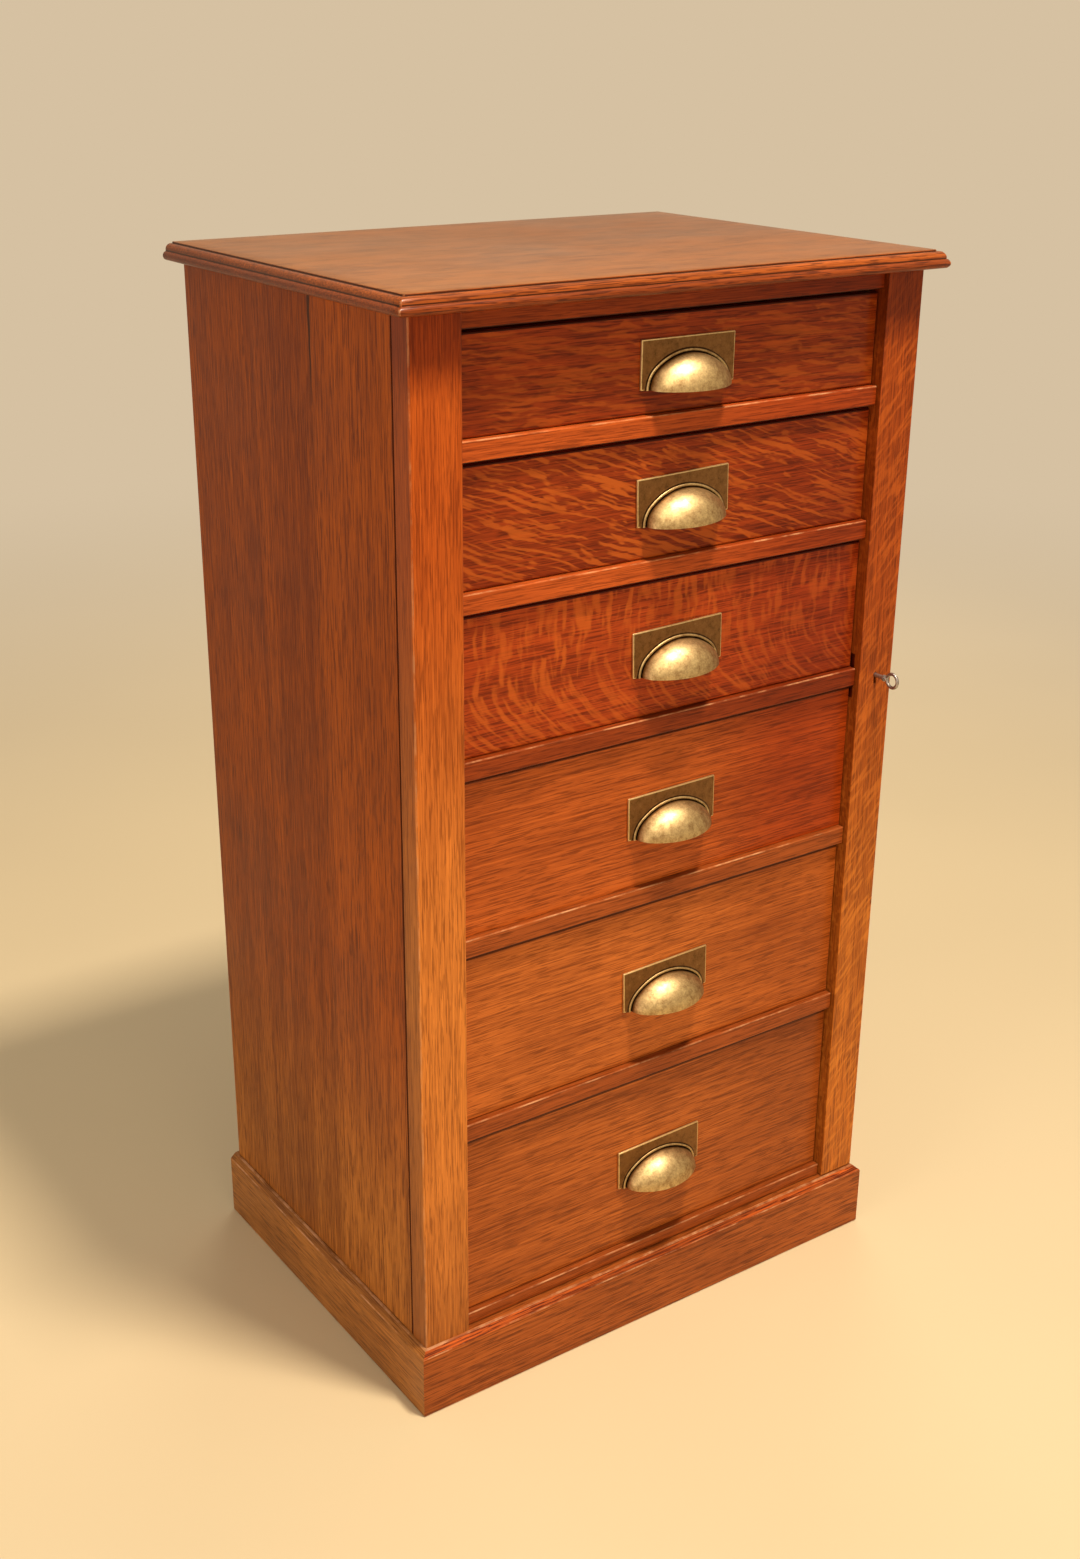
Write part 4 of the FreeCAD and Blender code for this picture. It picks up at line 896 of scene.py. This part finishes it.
def cast_plate(bm, patina, sizes, width, depth, height):
    """Cast the backplate, with edges that are rubbed bright."""
    before = len(bm.verts)
    plate = bmesh.ops.create_cube(bm, size=1.0)["verts"]
    bmesh.ops.scale(bm, vec=(width, depth, height), verts=plate)
    bmesh.ops.translate(bm, vec=(0, depth / 2, height / 2), verts=plate)
    rounded = round_over(bm, edges_of(plate), sizes.plate_arris, 2)
    edge_dirt, face_dirt = PLATE_DIRT
    mark(bm, before, patina, face_dirt)
    broad = [f for f in bm.faces if f.normal.y < -0.99 and f.calc_area() > 1e-3]
    bmesh.ops.inset_region(bm, faces=broad, thickness=0.4 * MM, depth=0.0)
    for face in rounded:
        for vert in face.verts:
            vert[patina] = edge_dirt


def cut_slot(bm, head, middle, width):
    """Cut a slot 1 mm deep across a screw's head."""
    for half in (-0.5, 0.5):
        around = dict.fromkeys(g for v in head for g in (v, *v.link_edges, *v.link_faces))
        cut = bmesh.ops.bisect_plane(bm, geom=list(around), plane_co=middle + Vector((0, 0, half * width)),
                                     plane_no=(0, 0, 1))["geom"]
        head = dict.fromkeys(v for g in cut for v in ((g,) if isinstance(g, bmesh.types.BMVert) else g.verts))
    slot = []
    for face in dict.fromkeys(f for v in head for f in v.link_faces):
        if face.normal.y > FLAT and abs(face.calc_center_median().z - middle.z) < 0.3 * width:
            slot.append(face)
    bmesh.ops.inset_region(bm, faces=slot, thickness=0.02 * MM, depth=-1.0 * MM)


def post_and_screw(bm, patina, sizes, side, plate_back, head_start, head_end):
    """Cast a post behind the plate, and turn the slotted screw that holds it from inside the drawer."""
    post_end = plate_back + sizes.post_length
    for radius, tip, start, end, dirt in (
        (sizes.post, sizes.post, plate_back, post_end, POST_DIRT),
        (sizes.screw, sizes.screw, post_end, head_start, SHANK_DIRT),
        (sizes.screw_head, 0.85 * sizes.screw_head, head_start, head_end, HEAD_DIRT),
    ):
        before = len(bm.verts)
        middle = Vector((side * sizes.post_offset, (start + end) / 2, sizes.post_height))
        place = Matrix.Translation(middle) @ Matrix.Rotation(math.pi / 2, 4, "X")
        rod = bmesh.ops.create_cone(bm, cap_ends=True, segments=ROD_SIDES, radius1=tip, radius2=radius,
                                    depth=end - start, matrix=place)["verts"]
        mark(bm, before, patina, dirt)
        if tip < radius:
            cut_slot(bm, rod, middle, sizes.screw_slot)


class CHEST_OT_pulls(bpy.types.Operator):
    """Make the cast cup pulls with a bead round each cup"""

    bl_idname = "chest.pulls"
    bl_label = "Cup pulls"

    def execute(self, context):
        colours, sizes = chosen(context)
        brass = cast_brass("antique_cast_brass", colours, rub=0.0)
        # Fitted by eye, so most of them stand a degree or two out of level
        tilts = {1: 0.0, 2: 1.7, 3: 1.6, 4: 1.0, 5: 1.7, 6: 1.3}
        for n in DRAWERS:
            low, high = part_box(f"drawer_{n}_pull")
            width, height = high.x - low.x, high.z - low.z
            plate_face = low.y + sizes.cup_height
            plate_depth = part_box(f"drawer_{n}_front")[0].y - plate_face
            head_end = high.y - plate_face
            bm = bmesh.new()
            patina = bm.verts.layers.float.new("patina")
            cast_dome(bm, patina, sizes)
            cast_bead(bm, patina, sizes, sizes.bead, 1.0, -1.0 * MM, BEAD_DIRT)
            # A flat fillet under the bead: a dark band that is partly dirt and partly painted shade
            cast_bead(bm, patina, sizes, sizes.fillet, 0.1, -0.33 * MM, FILLET_DIRT_AND_SHADE)
            cast_plate(bm, patina, sizes, width, plate_depth, height)
            for side in (-1, 1):
                post_and_screw(bm, patina, sizes, side, plate_depth, head_end - sizes.screw_depth, head_end)
            tilt = Matrix.Rotation(-math.radians(tilts[n]), 3, "Y")
            bmesh.ops.rotate(bm, verts=bm.verts, cent=(0, 0, height / 2), matrix=tilt)
            bmesh.ops.translate(bm, vec=((low.x + high.x) / 2, plate_face, low.z), verts=bm.verts)
            finish_piece(bm, f"cup_pull_{n}", brass, f"drawer_{n}_pull", smooth_below=38.0)
        return {"FINISHED"}


class CHEST_OT_flap(bpy.types.Operator):
    """Make the locking flap with its hinges"""

    bl_idname = "chest.flap"
    bl_label = "Locking flap"

    def execute(self, context):
        colours, sizes = chosen(context)
        rays = Rays(turn=0.85, long=24, thin=4.0, wander=8, low=0.46, high=0.66, strength=0.5,
                    colour=tinted(colours.fleck, 1.15))
        # Painted light towards the foot, and a painted shadow under the moulding
        lighting_to_foot = LightFade("Z", 0.75, 0.30, (1.38, 2.15, 2.3))
        shade_under_moulding = LightFade("Z", 0.915, 0.965, (0.55, 0.44, 0.42))
        wood = oak("quarter_sawn_oak_flap", colours.flap, "Z", 83.0, contrast=0.85, rays=rays,
                   light_fades=(lighting_to_foot, shade_under_moulding))
        # Its inner left face is darkened with painted shade and dirt
        dress("flap", wood, sizes.arris, rubbed=(FRONT_RIGHT,), dirty_and_shaded=(LEFT,), dirt=0.38)
        brass = cast_brass("drawn_brass_hinges", colours, rub=-0.2)
        for node in ("hinge_leaves_fixed", "hinge_leaves_flap", "hinge_pins", "hinge_screws_fixed",
                     "hinge_screws_flap"):
            dress(node, brass, sizes.metal_arris, shortest=10.0, segments=1, smooth_below=30.0)
        return {"FINISHED"}


class CHEST_OT_lock(bpy.types.Operator):
    """Make the lock, its bolt and the key"""

    bl_idname = "chest.lock"
    bl_label = "Lock and key"

    def execute(self, context):
        colours, sizes = chosen(context)
        steel = handled_steel("handled_mild_steel", colours.steel)
        browned = handled_steel("browned_mild_steel", colours.browned)
        for node, metal in (("lock_case", browned), ("lock_bolt", steel), ("key", steel)):
            dress(node, metal, sizes.metal_arris, shortest=8.0, segments=1, smooth_below=30.0)
        return {"FINISHED"}


def sees_backdrop(tree):
    """1 for the rays that show the backdrop itself: to the camera, in reflections and through glass."""
    path = add(tree, "LightPath", {}).node.outputs
    seen = add(tree, "Math", {0: path["Is Camera Ray"], 1: path["Is Glossy Ray"]}, operation="ADD")
    return add(tree, "Math", {0: seen, 1: path["Is Transmission Ray"]}, operation="ADD", use_clamp=True)


def painted_floor(name, colours):
    """Matt painted floor, faintly clouded, which fades into a plain backdrop away from the chest."""
    material, tree = start_material(name)
    spot = add(tree, "TexCoord", {}, out="Object")
    cloud = add(tree, "TexNoise", {"Vector": spot, "Scale": 1.2, "Detail": 2.0}, out="Fac")
    cloud = add(tree, "MapRange", {0: cloud, 1: 0.3, 2: 0.7})
    dark, light = tinted(colours.floor, 0.97), tinted(colours.floor, 1.03)
    shade = add(tree, "Mix", {0: cloud, 6: dark, 7: light}, **COLOUR_MIX)
    near = add(tree, "BsdfPrincipled", {"Base Color": shade, "Roughness": 0.85})
    far = add(tree, "Emission", {"Color": colours.backdrop, "Strength": 1.0})
    away = add(tree, "VectorMath", {0: spot}, out="Value", operation="LENGTH")
    fade = add(tree, "MapRange", {0: away, 1: FADE_START, 2: FADE_END}, **SOFT)
    fade = add(tree, "Math", {0: fade, 1: sees_backdrop(tree)}, operation="MULTIPLY")
    floor = add(tree, "MixShader", {0: fade, 1: near, 2: far})
    add(tree, "OutputMaterial", {"Surface": floor})
    return material


class CHEST_OT_stage(bpy.types.Operator):
    """Make the pale floor, the soft lights and the camera"""

    bl_idname = "chest.stage"
    bl_label = "Stage"

    def execute(self, context):
        colours, scene = context.scene.chest_colours, context.scene
        bm = bmesh.new()
        bmesh.ops.create_grid(bm, x_segments=1, y_segments=1, size=FLOOR_REACH)
        mesh = bpy.data.meshes.new("floor")
        bm.to_mesh(mesh)
        bm.free()
        mesh.materials.append(painted_floor("matt_pale_floor", colours))
        floor = bpy.data.objects.new("floor", mesh)
        scene.collection.objects.link(floor)

        for lamp in LAMPS:
            light = bpy.data.lights.new(lamp.name, "AREA")
            light.shape = "RECTANGLE"
            light.size = lamp.wide
            light.size_y = lamp.tall
            light.energy = lamp.power
            light.color = linear(lamp.tint)[:3]
            stand = bpy.data.objects.new(lamp.name, light)
            stand.location = lamp.place
            aim = Vector(lamp.target) - Vector(lamp.place)
            stand.rotation_euler = aim.to_track_quat("-Z", "Y").to_euler()
            stand.visible_camera = False
            stand.visible_diffuse = lamp.lights
            stand.visible_glossy = lamp.mirrors
            scene.collection.objects.link(stand)

        world = bpy.data.worlds.new("soft_room")
        world.use_nodes = True
        tree = world.node_tree
        room = tinted(linear(ROOM_TINT), ROOM_LEVEL)
        air = add(tree, "Mix", {0: sees_backdrop(tree), 6: room, 7: colours.backdrop}, **COLOUR_MIX)
        tree.links.new(air, tree.nodes["Background"].inputs["Color"])
        scene.world = world

        camera = bpy.data.cameras.new("camera")
        camera.sensor_fit = "VERTICAL"
        camera.sensor_height = PICTURE_HEIGHT
        camera.lens = LENS
        axes = Matrix((CAMERA_RIGHT, CAMERA_UP, CAMERA_RIGHT.cross(CAMERA_UP))).transposed()
        tripod = bpy.data.objects.new("camera", camera)
        tripod.matrix_world = Matrix.Translation(CAMERA_PLACE) @ axes.to_4x4()
        scene.collection.objects.link(tripod)
        scene.camera = tripod
        scene.view_settings.view_transform = "Standard"
        return {"FINISHED"}


class CHEST_PT_panel(bpy.types.Panel):
    """The chest's pieces, colours and sizes in the sidebar"""

    bl_label = "Wellington chest"
    bl_idname = "CHEST_PT_panel"
    bl_space_type = "VIEW_3D"
    bl_region_type = "UI"
    bl_category = "Chest"

    def draw(self, context):
        layout = self.layout
        for operator in OPERATORS:
            layout.operator(operator.bl_idname)
        for group in (context.scene.chest_colours, context.scene.chest_sizes):
            box = layout.box()
            for name in group.__annotations__:
                box.prop(group, name)


OPERATORS = (
    CHEST_OT_stage,
    CHEST_OT_top,
    CHEST_OT_sides,
    CHEST_OT_stile_and_rails,
    CHEST_OT_plinth,
    CHEST_OT_carcase_inside,
    CHEST_OT_drawers,
    CHEST_OT_pulls,
    CHEST_OT_flap,
    CHEST_OT_lock,
)
CLASSES = (ChestColours, ChestSizes) + OPERATORS + (CHEST_PT_panel,)


def register():
    for each in CLASSES:
        bpy.utils.register_class(each)
    bpy.types.Scene.chest_colours = bpy.props.PointerProperty(type=ChestColours)
    bpy.types.Scene.chest_sizes = bpy.props.PointerProperty(type=ChestSizes)


def unregister():
    del bpy.types.Scene.chest_sizes
    del bpy.types.Scene.chest_colours
    for each in reversed(CLASSES):
        bpy.utils.unregister_class(each)


def main():
    """Dress the chest piece by piece."""
    register()
    bpy.ops.chest.stage()
    bpy.ops.chest.top()
    bpy.ops.chest.sides()
    bpy.ops.chest.stile_and_rails()
    bpy.ops.chest.plinth()
    bpy.ops.chest.carcase_inside()
    bpy.ops.chest.drawers()
    bpy.ops.chest.pulls()
    bpy.ops.chest.flap()
    bpy.ops.chest.lock()


if __name__ == "__main__":
    main()
